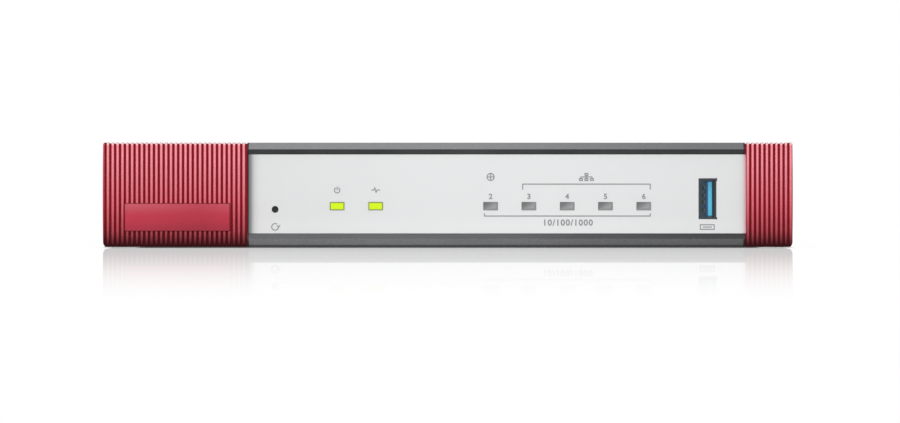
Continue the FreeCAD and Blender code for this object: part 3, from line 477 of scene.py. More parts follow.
@dataclass(frozen=True)
class Lens(Finish):
    """Clear or tinted lamp lens, lit from behind or dark."""

    colour: Colour
    edge: Colour
    glow: float
    first_x: float
    pitch: float
    fade: float
    centre_z: float = 13.1
    half: Pair = (2.1, 1.1)

    def inputs(self, paint: Paint) -> Inputs:
        """Returns the shader's inputs, which is darker round the rim of every lens of a row; on the
        dark lenses the rim and the top left are painted shade.
        """
        x, y, z = paint.axes()
        turn = ((x - self.first_x) / self.pitch + 0.5).fraction()
        aside = abs(turn - 0.5) * self.pitch - self.half[0]
        # darker round the rim; on the dark lenses this is painted shade
        rim = aside.largest(abs(z - self.centre_z) - self.half[1]).ramp(-self.fade, 0.0)
        # painted shade on the dark lenses: darker towards the top left
        painted_shade_slope = (turn - 0.5) * self.pitch * 0.3 - (z - self.centre_z) * 0.45
        shadow = (1 - painted_shade_slope.ramp(-0.9, 0.7)) * (1 - self.glow * 2)
        frost = paint.noise(0.3, 2.0)
        rim = (rim * (0.45 + self.glow * 1.1)).largest(shadow)
        colour = paint.blend(rim, self.colour, self.edge)
        return dict(Base_Color=paint.blend(self.glow, colour, BLACK),
                    Emission_Color=paint.blend(1 - self.glow, colour, BLACK),
                    Emission_Strength=1.0, Roughness=0.3 + frost * 0.1,
                    Specular_IOR_Level=0.2, Normal=paint.relief(frost, 0.004))


@dataclass(frozen=True)
class Tongue(Finish):
    """Moulded tongue of a socket, with painted light and shade: pale along its nose, deep blue on its
    flanks, its top end and further back as painted shade, and a faint painted glow though it is no
    lamp.
    """

    nose: Colour
    # colour of the painted shade on the flanks
    flank: Colour
    # colour of the faint painted glow further back
    depth: Colour
    middle_x: float
    half: float
    nose_y: float
    top_z: float

    def inputs(self, paint: Paint) -> Inputs:
        """Returns the shader's inputs."""
        x, y, z = paint.axes()
        # painted shade: the flanks, the top end and the part further back are dark
        aside = abs(x - self.middle_x).ramp(self.half - 0.3, self.half + 0.1)
        ends = z.ramp(self.top_z - 0.15, self.top_z + 0.25)
        back = y.ramp(self.nose_y + 0.2, self.nose_y + 1.2)
        grain = paint.noise(0.3, 2.0)
        cloud = paint.noise(3.0, 2.0)
        bright = paint.mottle(cloud * 0.5, self.nose, 1.0, 0.6)
        colour = paint.blend(aside.largest(ends).largest(back), bright, self.flank)
        # painted glow: a faint emission, darker further back
        glow = paint.blend(back, colour, self.depth)
        return dict(Base_Color=colour, Roughness=0.4 + grain * 0.1, Emission_Color=glow,
                    Emission_Strength=0.22, Normal=paint.relief(grain, 0.006))


@dataclass(frozen=True)
class Rubber(Finish):
    """Dull soft rubber with a dusty bloom."""

    colour: Colour

    def inputs(self, paint: Paint) -> Inputs:
        """Returns the shader's inputs."""
        bloom = paint.noise(3.0, 4.0)
        colour = paint.mottle(bloom, self.colour, 1.0, 1.9)
        return dict(Base_Color=colour, Roughness=0.78 + bloom * 0.12,
                    Normal=paint.relief(paint.noise(0.25, 2.0), 0.015))


@dataclass(frozen=True)
class Laminate(Finish):
    """Green circuit board: solder mask over a weave, with traces and pads showing."""

    mask: Colour
    trace: Colour
    pad: Colour

    def inputs(self, paint: Paint) -> Inputs:
        """Returns the shader's inputs."""
        x, y, z = paint.axes()
        wander = paint.noise(6.0, 1.0) * 2.2
        lines = abs(((x + wander) * 1.3).sine()).ramp(0.86, 0.93)
        cross = abs(((y - wander) * 1.1).sine()).ramp(0.88, 0.94)
        region = paint.noise(17.0, 1.0) > 0.5
        traces = lines * region + cross * (1 - region)
        dots = paint.make("TexVoronoi", {"Vector": paint.place(), "Scale": 420.0})
        vias = 1 - dots.ramp(0.16, 0.20)
        colour = paint.coats(self.mask, (traces * 0.7, self.trace), (vias * 0.8, self.pad))
        return dict(Base_Color=colour, Roughness=0.32 + traces * 0.08,
                    Normal=paint.relief(traces, 0.02))


# ---------------- mesh helpers

class Body(Enum):
    """The bodies that new pieces ride on."""

    CASE = "case"
    ROCKER = "power_switch_rocker"


# The name of the object that holds each CAD node.
NODES: Dict[str, str] = {}


def copied(node: str) -> BMesh:
    """Returns a copy of a node's mesh, with its loose triangles merged and flats joined."""
    form = bmesh.new()
    form.from_mesh(bpy.data.objects[NODES[node]].data)
    bmesh.ops.remove_doubles(form, verts=form.verts, dist=JOIN * MM)
    bmesh.ops.dissolve_limit(form, angle_limit=radians(0.5), verts=form.verts, edges=form.edges)
    return form


def placed(name: str, form: Union[BMesh, Mesh], material: Material,
           body: Body = Body.CASE, replaces: Sequence[str] = (),
           sharp: Optional[float] = 35.0) -> None:
    """Turns a form into a finished piece.

    Args:
        name: the piece's name.
        form: its mesh, in metres at its place.
        material: its finish.
        body: the body it rides on.
        replaces: nodes that it stands for.
        sharp: edges that turn by more degrees than this stay crisp; None keeps its normals.
    """
    mesh = meshed(name, form) if isinstance(form, BMesh) else form
    mesh.name = name
    mesh.materials.clear()
    mesh.materials.append(material)
    if sharp is not None:
        mesh.shade_smooth()
        mesh.set_sharp_from_angle(angle=radians(sharp))
    piece = added(name, mesh)
    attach(piece, body.value)
    if replaces:
        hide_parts(*replaces)
    LOG.info("piece %s: %d faces", name, len(mesh.polygons))


def softened(name: str, form: BMesh, width: float, segments: int = 2,
             angle: float = 30.0) -> Mesh:
    """Rounds every edge of a form that turns by more than an angle.

    Args:
        name: the mesh's name.
        form: the form, which is freed.
        width: width of the rounding in millimetres.
        segments: steps across the rounding.
        angle: smallest turn that is rounded, in degrees.

    Returns:
        The rounded mesh.
    """
    carrier = added(name, meshed(name, form))
    carrier.data.shade_smooth()
    bevel = carrier.modifiers.new("round", "BEVEL")
    bevel.width = width * MM
    bevel.segments = segments
    bevel.limit_method = "ANGLE"
    bevel.angle_limit = radians(angle)
    weigh = carrier.modifiers.new("even", "WEIGHTED_NORMAL")
    weigh.weight = 100
    weigh.keep_sharp = True
    return evaluated(carrier)


# ---------------- repeated shapes

class Row:
    """Geometry Nodes tree that repeats a shape along a straight row."""

    INPUTS = {"Shape": "Object", "Count": "Int", "Start": "Vector", "Step": "Vector",
              "Turn": "Vector"}
    KINDS = {"given": "NodeGroupInput", "line": "GeometryNodeMeshLine",
             "shape": "GeometryNodeObjectInfo", "spread": "GeometryNodeInstanceOnPoints",
             "solid": "GeometryNodeRealizeInstances", "joined": "GeometryNodeMergeByDistance",
             "output": "NodeGroupOutput"}
    LINKS = (("given", "Count", "line", "Count"), ("given", "Start", "line", "Start Location"),
             ("given", "Step", "line", "Offset"), ("given", "Shape", "shape", "Object"),
             ("line", "Mesh", "spread", "Points"), ("shape", "Geometry", "spread", "Instance"),
             ("given", "Turn", "spread", "Rotation"), ("spread", "Instances", "solid", "Geometry"),
             ("solid", "Geometry", "joined", "Geometry"),
             ("joined", "Geometry", "output", "Geometry"))

    def __init__(self) -> None:
        """Builds the tree."""
        self.tree = bpy.data.node_groups.new("row_of_shapes", "GeometryNodeTree")
        face = self.tree.interface
        self.keys: Dict[str, str] = {}
        for name, kind in self.INPUTS.items():
            item = face.new_socket(name, in_out="INPUT", socket_type="NodeSocket" + kind)
            self.keys[name] = item.identifier
        face.new_socket("Geometry", in_out="OUTPUT", socket_type="NodeSocketGeometry")
        nodes = {name: self.tree.nodes.new(kind) for name, kind in self.KINDS.items()}
        nodes["line"].mode = "OFFSET"
        nodes["joined"].inputs["Distance"].default_value = JOIN * MM
        for source, output, target, entry in self.LINKS:
            self.tree.links.new(nodes[source].outputs[output], nodes[target].inputs[entry])

    def spread(self, shape: BMesh, count: int, start: Point, step: Point, turn: Point) -> Mesh:
        """Repeats a shape.

        Args:
            shape: the shape at the origin, which is freed.
            count: how many times it appears.
            start: place of the first, in millimetres.
            step: from one to the next, in millimetres.
            turn: rotation of each, in degrees.

        Returns:
            One mesh of all of them.
        """
        sample = added("row_sample", meshed("row_sample", shape))
        carrier = added("row_carrier", bpy.data.meshes.new("row_carrier"))
        rule = carrier.modifiers.new("row", "NODES")
        rule.node_group = self.tree
        values = {"Shape": sample, "Count": count, "Start": [value * MM for value in start],
                  "Step": [value * MM for value in step],
                  "Turn": [radians(value) for value in turn]}
        for name, value in values.items():
            rule[self.keys[name]] = value
        return evaluated(carrier, sample)


def added(name: str, data: Union[Mesh, bpy.types.Curve, bpy.types.Light]) -> Object:
    """Returns a new object of the scene."""
    made = bpy.data.objects.new(name, data)
    bpy.context.scene.collection.objects.link(made)
    return made


def meshed(name: str, form: BMesh) -> Mesh:
    """Returns a form as a mesh and frees it."""
    mesh = bpy.data.meshes.new(name)
    form.to_mesh(mesh)
    form.free()
    return mesh


def evaluated(carrier: Object, *tools: Object) -> Mesh:
    """Returns an object's mesh with its modifiers applied, and deletes it and its tools."""
    graph = bpy.context.evaluated_depsgraph_get()
    mesh = bpy.data.meshes.new_from_object(carrier.evaluated_get(graph))
    for helper in (carrier,) + tools:
        bpy.data.objects.remove(helper)
    return mesh


def loft(form: BMesh, loops: Sequence[Sequence[Point]]) -> List[List[bmesh.types.BMVert]]:
    """Skins a row of closed loops of points in millimetres and returns their vertices."""
    rings = [[form.verts.new([value * MM for value in point]) for point in loop] for loop in loops]
    for first, second in zip(rings, rings[1:]):
        for index in range(len(first)):
            form.faces.new([first[index - 1], first[index], second[index], second[index - 1]])
    return rings


def block(form: BMesh, low: Point, high: Point) -> None:
    """Adds a closed box between two corners in millimetres."""
    made = bmesh.ops.create_cube(form, size=1.0)["verts"]
    size = [(b - a) * MM for a, b in zip(low, high)]
    middle = [(b + a) / 2 * MM for a, b in zip(low, high)]
    bmesh.ops.scale(form, vec=size, verts=made)
    bmesh.ops.translate(form, vec=middle, verts=made)


def carved(form: BMesh, cutter: BMesh) -> Mesh:
    """Returns a form with a cutter taken out of it; both are freed."""
    solid = added("carved", meshed("carved", form))
    tool = added("cutter", meshed("cutter", cutter))
    cut = solid.modifiers.new("cut", "BOOLEAN")
    cut.operation = "DIFFERENCE"
    cut.solver = "EXACT"
    cut.use_self = True
    cut.object = tool
    return evaluated(solid, tool)


# ---------------- ribbed corner caps

@dataclass
class RibbedCap:
    """A corner cap whose upright ribs wrap round the corner of the box."""

    name: str
    inner: float
    side: int
    ribs: int
    pitch: float
    shift: float
    row: Row
    side_ribs: int = 14
    half: float = 108.0
    crest_y: float = -73.45
    rear_y: float = -51.05
    foot: float = 0.3
    top: float = 33.0
    barrel: float = 0.12
    foot_sweep: float = 0.85
    foot_rise: float = 1.7
    scallop: float = 0.3
    depth: float = 0.7
    groove: float = 0.58
    flank: float = 0.08
    corner: float = 1.1
    turn: float = 0.45
    wall: float = 1.6
    groove_round: float = 0.2
    crest_round: float = 0.6
    crown: Path = ((0.0, 0.16), (0.10, 0.06), (0.28, 0.01), (0.5, 0.0), (0.72, 0.01),
                   (0.90, 0.06), (1.0, 0.16))
    arc_steps: int = 4
    corner_steps: int = 6
    slack: float = 0.02
    front_wall: float = 1.4
    side_wall: float = 0.9

    def bow(self, height: float) -> float:
        """Returns how far the face leans in at a height: a slight barrel with a drawn-in foot."""
        middle = (self.foot + self.top) / 2
        barrel = self.barrel * ((height - middle) / (self.top - middle)) ** 2
        under = max(0.0, (self.foot_rise - height) / (self.foot_rise - self.foot))
        return barrel + self.foot_sweep * under ** 2.0

    def profile(self, sunk: float) -> List[Pair]:
        """Returns the upright outline (inward, height) of the cap at one depth of rib."""
        blend = sunk / self.depth
        bend = self.crest_round + (self.groove_round - self.crest_round) * blend
        deepest = self.corner - self.slack
        top = self.top - self.scallop * blend
        line = [(self.corner, self.foot)]
        for share in (0.0, 0.06, 0.16, 0.34, 0.6, 1.0):
            height = self.foot + (self.foot_rise - self.foot) * share
            line.append((min(deepest, sunk + self.bow(height)), height))
        for share in (0.25, 0.5, 0.75):
            height = self.foot_rise + (top - self.foot_rise) * share
            line.append((sunk + self.bow(height), height))
        start = min(deepest - bend, sunk + self.bow(top - bend))
        for step in range(self.arc_steps + 1):
            angle = pi / 2 * step / self.arc_steps
            line.append((start + bend * (1 - cos(angle)), top - bend * (1 - sin(angle))))
        line.append((self.corner, top))
        return line

    def columns(self, pitch: float) -> List[Pair]:
        """Returns (along, depth) across one rib, from its groove to its crest's far side."""
        start = self.groove + self.flank
        width = pitch - self.flank - start
        crest = [(start + width * share, depth) for share, depth in self.crown]
        return [(0.0, self.depth), (self.groove, self.depth)] + crest + [(pitch, self.depth)]

    def rib(self, pitch: float) -> BMesh:
        """Returns one rib at the origin, running along +X, with the inside towards +Y."""
        form = bmesh.new()
        loft(form, [[(along, inward, height) for inward, height in self.profile(sunk)]
                    for along, sunk in self.columns(pitch)])
        return form

    def corner_rib(self, start: float, flank: float) -> BMesh:
        """Returns the rib that turns the corner, at its place.

        Args:
            start: where its groove starts along the front.
            flank: pitch of the ribs along the side.
        """
        edge_x, edge_y, turn = self.half, self.crest_y, self.turn
        loops = []
        for along, sunk in self.columns(edge_x - start + turn):
            left = edge_x - start - along
            if left > turn:
                loops.append([(edge_x - left, edge_y + min(inward, max(left, sunk)), height)
                              for inward, height in self.profile(sunk)])
        for step in range(self.corner_steps + 1):
            angle = pi / 2 * step / self.corner_steps
            loops.append([(edge_x - turn + max(0.0, turn - inward) * sin(angle),
                           edge_y + turn - max(0.0, turn - inward) * cos(angle), height)
                          for inward, height in self.profile(0.0)])
        for along, sunk in self.columns(flank):
            if along > turn:
                loops.append([(edge_x - min(inward, max(along, sunk)), edge_y + along, height)
                              for inward, height in self.profile(sunk)])
        form = bmesh.new()
        loft(form, loops)
        return form

    def core(self, form: BMesh) -> None:
        """Adds the walls that the ribs stand on."""
        inset = self.depth + self.slack
        x0, x1, y0, y1 = self.inner, self.half - inset, self.crest_y + inset, self.rear_y
        low, high = self.foot + self.slack, self.top - self.scallop - self.slack
        behind, beside, wall = y0 + self.front_wall, x1 - self.side_wall, self.wall
        block(form, (x0, y0, low), (x1, behind, high))
        block(form, (beside, behind, low), (x1, y1, high))
        block(form, (x0, behind, high - wall), (beside, y1, high))
        block(form, (x0, behind, low), (beside, y1, low + wall))

    def form(self) -> BMesh:
        """Returns the whole cap, on its own side of the box."""
        begin = self.inner - self.shift
        flank = (self.rear_y - self.crest_y) / (self.side_ribs + 1)
        runs = ((self.pitch, self.ribs - 1, (begin, self.crest_y, 0), (self.pitch, 0, 0), 0),
                (flank, self.side_ribs, (self.half, self.crest_y + flank, 0), (0, flank, 0), 90))
        whole = self.corner_rib(begin + self.pitch * (self.ribs - 1), flank)
        for pitch, count, start, step, turn in runs:
            rib = self.rib(pitch)
            whole.from_mesh(self.row.spread(rib, count, start, step, (0, 0, turn)))
        bmesh.ops.remove_doubles(whole, verts=whole.verts, dist=0.003 * MM)
        for vert in whole.verts:
            vert.co.x = max(vert.co.x, self.inner * MM)
        open_edges = [edge for edge in whole.edges if edge.is_boundary]
        bmesh.ops.holes_fill(whole, edges=open_edges, sides=0)
        self.core(whole)
        if self.side < 0:
            bmesh.ops.scale(whole, vec=(-1, 1, 1), verts=whole.verts)
        bmesh.ops.recalc_face_normals(whole, faces=whole.faces)
        return whole

    def build(self, finish: Material, recess: Tuple[Point, Point]) -> None:
        """Builds the cap in place of its node, with a recess cut between two corners."""
        cutter = bmesh.new()
        block(cutter, *recess)
        form = carved(self.form(), cutter)
        placed(self.name + "_ribs", form, finish, replaces=(self.name,))


# ---------------- front

@dataclass(frozen=True)
class Sign:
    """A general sign, measured in halves of its height from its middle.

    An arc is (radius, first angle, last angle), a box (x, y, half width, half height).
    """

    arcs: Tuple[Point, ...] = ()
    boxes: Tuple[Tuple[float, float, float, float], ...] = ()
    lines: Tuple[Path, ...] = ()


class Mark(Enum):
    """The printed signs."""

    POWER = Sign(arcs=((1, 125, 415),), lines=(((0, 0.1), (0, 1.25)),))
    STATUS = Sign(lines=(((-1.5, 0), (-0.7, 0), (-0.35, 0.9), (0.15, -0.9), (0.5, 0), (1.5, 0)),))
    RESET = Sign(arcs=((1, 60, 360),), lines=(((0.571, 0.381), (1, 0), (1.429, 0.381)),))
    GLOBE = Sign(arcs=((1, 0, 360),), lines=(((0, -1), (0, 1)), ((-1, 0), (1, 0))))
    NETWORK = Sign(boxes=((0, 0.72, 0.4, 0.25), (-1.5, -0.72, 0.4, 0.25),
                          (0, -0.72, 0.4, 0.25), (1.5, -0.72, 0.4, 0.25)),
                   lines=(((-1.5, 0), (1.5, 0)), ((-1.5, 0), (-1.5, -0.4)), ((0, 0), (0, -0.4)),
                          ((1.5, 0), (1.5, -0.4)), ((0, 0), (0, 0.4))))
    PORT = Sign(boxes=((0, 0, 3, 1),), lines=(((-1.8, 0), (1.8, 0)),))
    POLARITY = Sign(arcs=((1, 35, 325), (0.25, 0, 360)),
                    lines=(((0, 0), (2, 0)), ((-1, 0), (-2, 0)), ((-3.117, 0), (-2.283, 0)),
                           ((2.283, 0), (3.117, 0)), ((2.7, -0.417), (2.7, 0.417))))
    SCREEN = Sign(boxes=((0, 0, 1.5, 1),),
                  lines=(((-0.9, 0.4), (-0.4, 0), (-0.9, -0.4)), ((0, -0.4), (0.7, -0.4))))


@dataclass
class Print:
    """Thin print on a flat face: lines, plain digits and general signs.

    It is drawn in millimetres, x to the right and y up as the face is looked at.
    """

    plane: Matrix
    line: float = 0.34
    fine: float = 0.92
    layer: float = 0.004
    layers: int = 4
    overlap: float = 0.6
    bold: float = 0.075
    type_size: float = 1.4
    strokes: int = 0
    form: BMesh = field(default_factory=bmesh.new)

    def stroke(self, points: Sequence[Pair]) -> None:
        """Prints a line of even width through points; crossing lines lie in layers of ink."""
        half = self.line / 2
        self.strokes += 1
        for index, ((x0, y0), (x1, y1)) in enumerate(zip(points, points[1:])):
            level = (self.strokes % self.layers * 2 + index % 2) * self.layer
            run = hypot(x1 - x0, y1 - y0)
            dx, dy = (x1 - x0) / run * half, (y1 - y0) / run * half
            x0, y0, x1, y1 = (end + step * self.overlap
                              for end, step in ((x0, -dx), (y0, -dy), (x1, dx), (y1, dy)))
            corners = ((x0 - dy, y0 + dx), (x0 + dy, y0 - dx), (x1 + dy, y1 - dx), (x1 - dy, y1 + dx))
            face = [self.form.verts.new((x * MM, y * MM, level * MM)) for x, y in corners]
            self.form.faces.new(face)

    def arc(self, x: float, y: float, radius: float, start: float, end: float) -> None:
        """Prints part of a circle, from one angle to another in degrees."""
        steps = max(6, int(abs(end - start) / 15))
        angles = [radians(start + (end - start) * i / steps) for i in range(steps + 1)]
        self.stroke([(x + radius * cos(a), y + radius * sin(a)) for a in angles])

    def number(self, text: str, x: float, y: float, height: float, spacing: float = 1.0) -> None:
        """Prints plain digits, centred on a point."""
        curve = bpy.data.curves.new("digits", "FONT")
        curve.body = text
        curve.size = height * self.type_size * MM
        curve.align_x = "CENTER"
        curve.offset = self.bold * MM
        curve.space_character = spacing
        mesh = evaluated(added("digits", curve))
        mesh.transform(Matrix.Translation((x * MM, (y - height / 2) * MM, 0)))
        self.form.from_mesh(mesh)

    def sign(self, mark: Mark, x: float, y: float, size: float) -> None:
        """Prints a general sign, centred on a point and of a given height."""
        half, usual = size / 2, self.line
        self.line = usual * self.fine
        for radius, start, end in mark.value.arcs:
            self.arc(x, y, radius * half, start, end)
        corners = ((-1, -1), (1, -1), (1, 1), (-1, 1), (-1, -1))
        boxes = tuple(tuple((across + a * wide, up + b * tall) for a, b in corners)
                      for across, up, wide, tall in mark.value.boxes)
        for path in boxes + mark.value.lines:
            self.stroke([(x + a * half, y + b * half) for a, b in path])
        self.line = usual

    def place(self, name: str, finish: Material, slot: str, body: Body = Body.CASE) -> None:
        """Lays the print on its face as a finished piece."""
        bmesh.ops.transform(self.form, matrix=self.plane, verts=self.form.verts)
        placed(name, self.form, finish, body)


def front_plane(y: float) -> Matrix:
    """Returns the place of a print that faces forwards, at a depth in millimetres."""
    return Matrix.Translation((0, y * MM, 0)) @ Matrix.Rotation(pi / 2, 4, "X")


def rear_plane(y: float) -> Matrix:
    """Returns the place of a print that faces the rear; its x runs the other way."""
    turn = Matrix.Rotation(pi, 4, "Z") @ Matrix.Rotation(pi / 2, 4, "X")
    return Matrix.Translation((0, y * MM, 0)) @ turn


@dataclass
class Front:
    """Frame, faceplate, caps, nameplate and the print."""

    look: Looks
    row: Row
    plate_y: float = -72.0
    plate_ends: Pair = (-62.4, 93.5)

    def build(self) -> None:
        """Builds the front."""
        pocket = ((-101.2, -74.5, 5.22), (-68.1, -72.55, 14.02))
        notch = ((92.9, -74.5, 4.5), (93.42, -71.0, 29.3))
        red = self.look["cap_red"]
        RibbedCap("left_ribbed_cap", 62.8, -1, 30, 1.518, 0.0, self.row).build(red, pocket)
        RibbedCap("right_ribbed_cap", 93.1, 1, 10, 1.49, 0.22, self.row).build(red, notch)
        rows = (("front_frame", "frame_grey", 0.25), ("faceplate", "plate_silver", 0.06),
                ("blank_nameplate", "nameplate_red", 0.10), ("top_cover", "cover_grey", 0.15),
                ("base_tray", "tray_grey", 0.15), ("rear_panel", "panel_grey", 0.12))
        for node, slot, width in rows:
            form = copied(node)
            if node == "faceplate":
                self.stretch(form)
            mesh = softened(node, form, width)
            placed(node + "_skin", mesh, self.look[slot], replaces=(node,), sharp=None)
        self.markings()
        self.socket()

    def stretch(self, form: BMesh) -> None:
        """Runs the faceplate's ends on under the caps."""
        for vert in form.verts:
            if vert.co.x > (self.plate_ends[1] - 0.6) * MM:
                vert.co.x = self.plate_ends[1] * MM
            elif vert.co.x < (self.plate_ends[0] + 0.3) * MM:
                vert.co.x = self.plate_ends[0] * MM

    def markings(self) -> None:
        """Prints the faceplate."""
        ink = Print(front_plane(self.plate_y - 0.02))
        for mark, x, y, size in (
                (Mark.RESET, -54.1, 6.6, 2.1), (Mark.POWER, LIT_LAMPS[0], 18.1, 1.7),
                (Mark.STATUS, LIT_LAMPS[1], 18.15, 1.7), (Mark.GLOBE, PORT_X, 22.25, 2.2),
                (Mark.NETWORK, 43.45, 22.25, 2.3), (Mark.PORT, 81.3, 6.55, 1.45)):
            ink.sign(mark, x, y, size)
        for index in range(5):
            ink.number(str(index + 2), PORT_X + PORT_PITCH * index, 16.2, 1.67)
        ink.number("10/100/1000", 37.6, 8.0, 1.9, 1.17)
        ink.stroke([(23.46, 18.4), (23.46, 20.0), (63.43, 20.0), (63.43, 18.4)])
        ink.stroke([(11.48, 10.75), (11.48, 10.0), (63.43, 10.0), (63.43, 10.75)])
        ink.place("faceplate_print", self.look["print_grey"], "plate_silver")

    def socket(self) -> None:
        """Adds the folded rim of the upright socket and its tongue with a bevelled nose."""
        x0, x1, z0, z1 = 78.56, 84.16, 9.02, 21.82
        rim, front, rear = 0.48, self.plate_y - 0.06, self.plate_y + 1.0
        loops = []
        for inset, y in ((0.0, rear), (0.0, front + 0.05), (0.05, front), (rim, front),
                         (rim, rear), (0.0, rear)):
            loops.append([(x0 + inset, y, z0 + inset), (x1 - inset, y, z0 + inset),
                          (x1 - inset, y, z1 - inset), (x0 + inset, y, z1 - inset)])
        form = bmesh.new()
        loft(form, loops)
        for low, high in ((z0 - 0.1, z0 + 0.7), (z1 - 0.9, z1 + 0.1)):
            block(form, (x1 - 0.15, front + 0.02, low), (x1 + 0.22, rear, high))
        bmesh.ops.remove_doubles(form, verts=form.verts, dist=0.001 * MM)
        bmesh.ops.recalc_face_normals(form, faces=form.faces)
        placed("usb_rim", form, self.look["usb_rim"])
        tongue = copied("usb_tongue")
        nose = min(vert.co.y for vert in tongue.verts)
        for vert in tongue.verts:
            if vert.co.y < nose + 0.001 * MM:
                middle = vert.co.x < 82.0 * MM
                vert.co.x = (81.72 if middle else 82.98) * MM
                vert.co.z += 0.25 * MM if vert.co.z < 15.4 * MM else -0.25 * MM
        placed("usb_tongue_bar", tongue, self.look["usb_blue"],
               replaces=("usb_tongue",))


# ---------------- rear and fixings

def turned(profile: Sequence[Pair], sides: int) -> BMesh:
    """Returns a turned part about the Z axis from (radius, height) points in millimetres."""
    form = bmesh.new()
    turns = [2 * pi * step / sides for step in range(sides)]
    rings = loft(form, [[(r * cos(a), r * sin(a), h) for a in turns] for r, h in profile])
    form.faces.new(rings[0])
    form.faces.new(rings[-1])
    bmesh.ops.recalc_face_normals(form, faces=form.faces)
    return form


@dataclass
class Screw:
    """Pan-head screw with a cross recess, standing on the origin."""

    head: float
    height: float
    shank: float
    length: float
    arm: float = 0.62
    wide: float = 0.17

    def form(self) -> BMesh:
        """Returns the screw, its head up."""
        r, h = self.head, self.height
        outline = [(self.shank * 0.7, -self.length), (self.shank, -self.length + 0.5),
                   (self.shank, 0.0), (r, 0.0), (r, h * 0.35), (r * 0.97, h * 0.55),
                   (r * 0.86, h * 0.82), (r * 0.62, h * 0.96), (r * 0.3, h)]
        body = turned(outline, 28)
        cutter = bmesh.new()
        arm, wide = r * self.arm, r * self.wide
        deep = h * 0.3
        block(cutter, (-arm, -wide, deep), (arm, wide, h + 1))
        second = bmesh.new()
        block(second, (-wide, -arm, deep), (wide, arm, h + 1))
        first = bmesh.new()
        first.from_mesh(carved(body, cutter))
        result = bmesh.new()
        result.from_mesh(carved(first, second))
        return result


@dataclass
class Fixings:
    """Screws of the case and the board, and the rubber feet."""

    look: Looks
    row: Row
    foot_x: float = 92.0
    foot_y: float = -38.0
    foot_pitch: float = 98.0

    def pairs(self, name: str, node: str, slot: str, screw: Screw,
              *runs: Tuple[Point, Point, Point]) -> None:
        """Builds pairs of one screw in place of a node.

        Args:
            name: the piece's name.
            node: the node it stands for.
            slot: its material slot.
            screw: the screw.
            runs: start, step and turn of each pair, in millimetres and degrees.
        """
        whole = bmesh.new()
        for run in runs:
            whole.from_mesh(self.row.spread(screw.form(), 2, *run))
        placed(name, whole, self.look[slot], replaces=(node,), sharp=30.0)

    def feet(self) -> None:
        """Builds the feet: ringed rubber discs with a rounded tread."""
        outline = [(0.5, 0.35), (1.5, 0.3), (1.7, 0.1), (2.3, 0.02), (2.9, 0.1), (3.0, 0.3),
                   (3.4, 0.3), (3.5, 0.1), (4.1, 0.02), (4.7, 0.1), (4.8, 0.3), (5.1, 0.3),
                   (5.2, 0.08), (5.7, 0.0), (6.2, 0.15), (6.45, 0.5), (6.5, 0.9), (6.5, 1.6)]
        whole = bmesh.new()
        for x in (-self.foot_x, self.foot_x):
            whole.from_mesh(self.row.spread(turned(outline, 40), 2, (x, self.foot_y, 0),
                                            (0, self.foot_pitch, 0), (0, 0, 0)))
        placed("ringed_feet", whole, self.look["foot_rubber"],
               replaces=("rubber_feet",), sharp=40.0)

    def build(self) -> None:
        """Builds them all."""
        self.pairs("side_cross_screws", "side_screws", "screw_black", Screw(2.6, 0.45, 1.2, 4.5),
                   ((107.5, -34, 7), (0, 90, 0), (0, 90, 0)),
                   ((-107.5, -34, 7), (0, 90, 0), (0, -90, 0)))
        self.pairs("rear_cross_screws", "rear_screws", "screw_black", Screw(2.8, 1.5, 1.2, 5.0),
                   ((-48, 71.3, 26), (92, 0, 0), (-90, 0, 0)))
        self.pairs("front_cross_screws", "front_screws", "screw_black", Screw(2.6, 1.0, 1.2, 2.4),
                   ((-80, -47.45, 1.6), (160, 0, 0), (180, 0, 0)))
        self.pairs("board_cross_screws", "board_screws", "screw_steel", Screw(2.8, 1.8, 1.15, 4.1),
                   *(((-94, y, 7.6), (188, 0, 0), (0, 0, 0)) for y in (-39, -4, 30)))
        self.feet()


@dataclass
class Rear:
    """Print on the rear panel and the marks on the rocker."""

    look: Looks
    panel_y: float = 71.3
    gang_x: float = 66.0
    gang_pitch: float = 13.97
    pivot: Point = (76.0, 68.9, 14.0)
    tilt: float = -10.0

    def panel(self) -> None:
        """Prints the port numbers and general signs above the sockets."""
        ink = Print(rear_plane(self.panel_y + 0.02), 0.3)
        gang = [self.gang_x + self.gang_pitch * (1.5 - index) for index in range(4)]
        for number, x in enumerate([-4.0, 22.0] + gang, 1):
            ink.number(str(number), x, 5.2, 2.2)
        ink.sign(Mark.GLOBE, 22.0, 24.0, 2.4)
        ink.sign(Mark.NETWORK, self.gang_x, 25.2, 2.6)
        ink.stroke([(39.0, 21.6), (39.0, 22.3), (93.0, 22.3), (93.0, 21.6)])
        ink.sign(Mark.SCREEN, -30.0, 24.2, 2.4)
        ink.sign(Mark.POLARITY, -56.0, 22.4, 2.4)
        ink.place("panel_print", self.look["print_pale"], "panel_grey")

    def rocker_marks(self) -> None:
        """Prints the bar and the ring on the two halves of the rocker."""
        slope = atan2(0.95, 4.95)
        across = Matrix.Translation([value * MM for value in self.pivot])
        across = across @ Matrix.Rotation(radians(self.tilt), 4, "Z")
        for side, name in ((1, "rocker_mark_on"), (-1, "rocker_mark_off")):
            stand = Matrix.Translation((side * 2.9 * MM, 3.21 * MM, 0))
            lean = Matrix.Rotation(side * slope, 4, "Z") @ Matrix.Translation((0, 0.03 * MM, 0))
            ink = Print(across @ stand @ lean @ rear_plane(0.0), 0.36)
            if side > 0:
                ink.stroke([(0, -1.1), (0, 1.1)])
            else:
                ink.arc(0, 0, 1.05, 0, 360)
            ink.place(name, self.look["print_pale"], "switch_black", Body.ROCKER)

    def build(self) -> None:
        """Builds the rear's print."""
        self.panel()
        self.rocker_marks()


# ---------------- studio

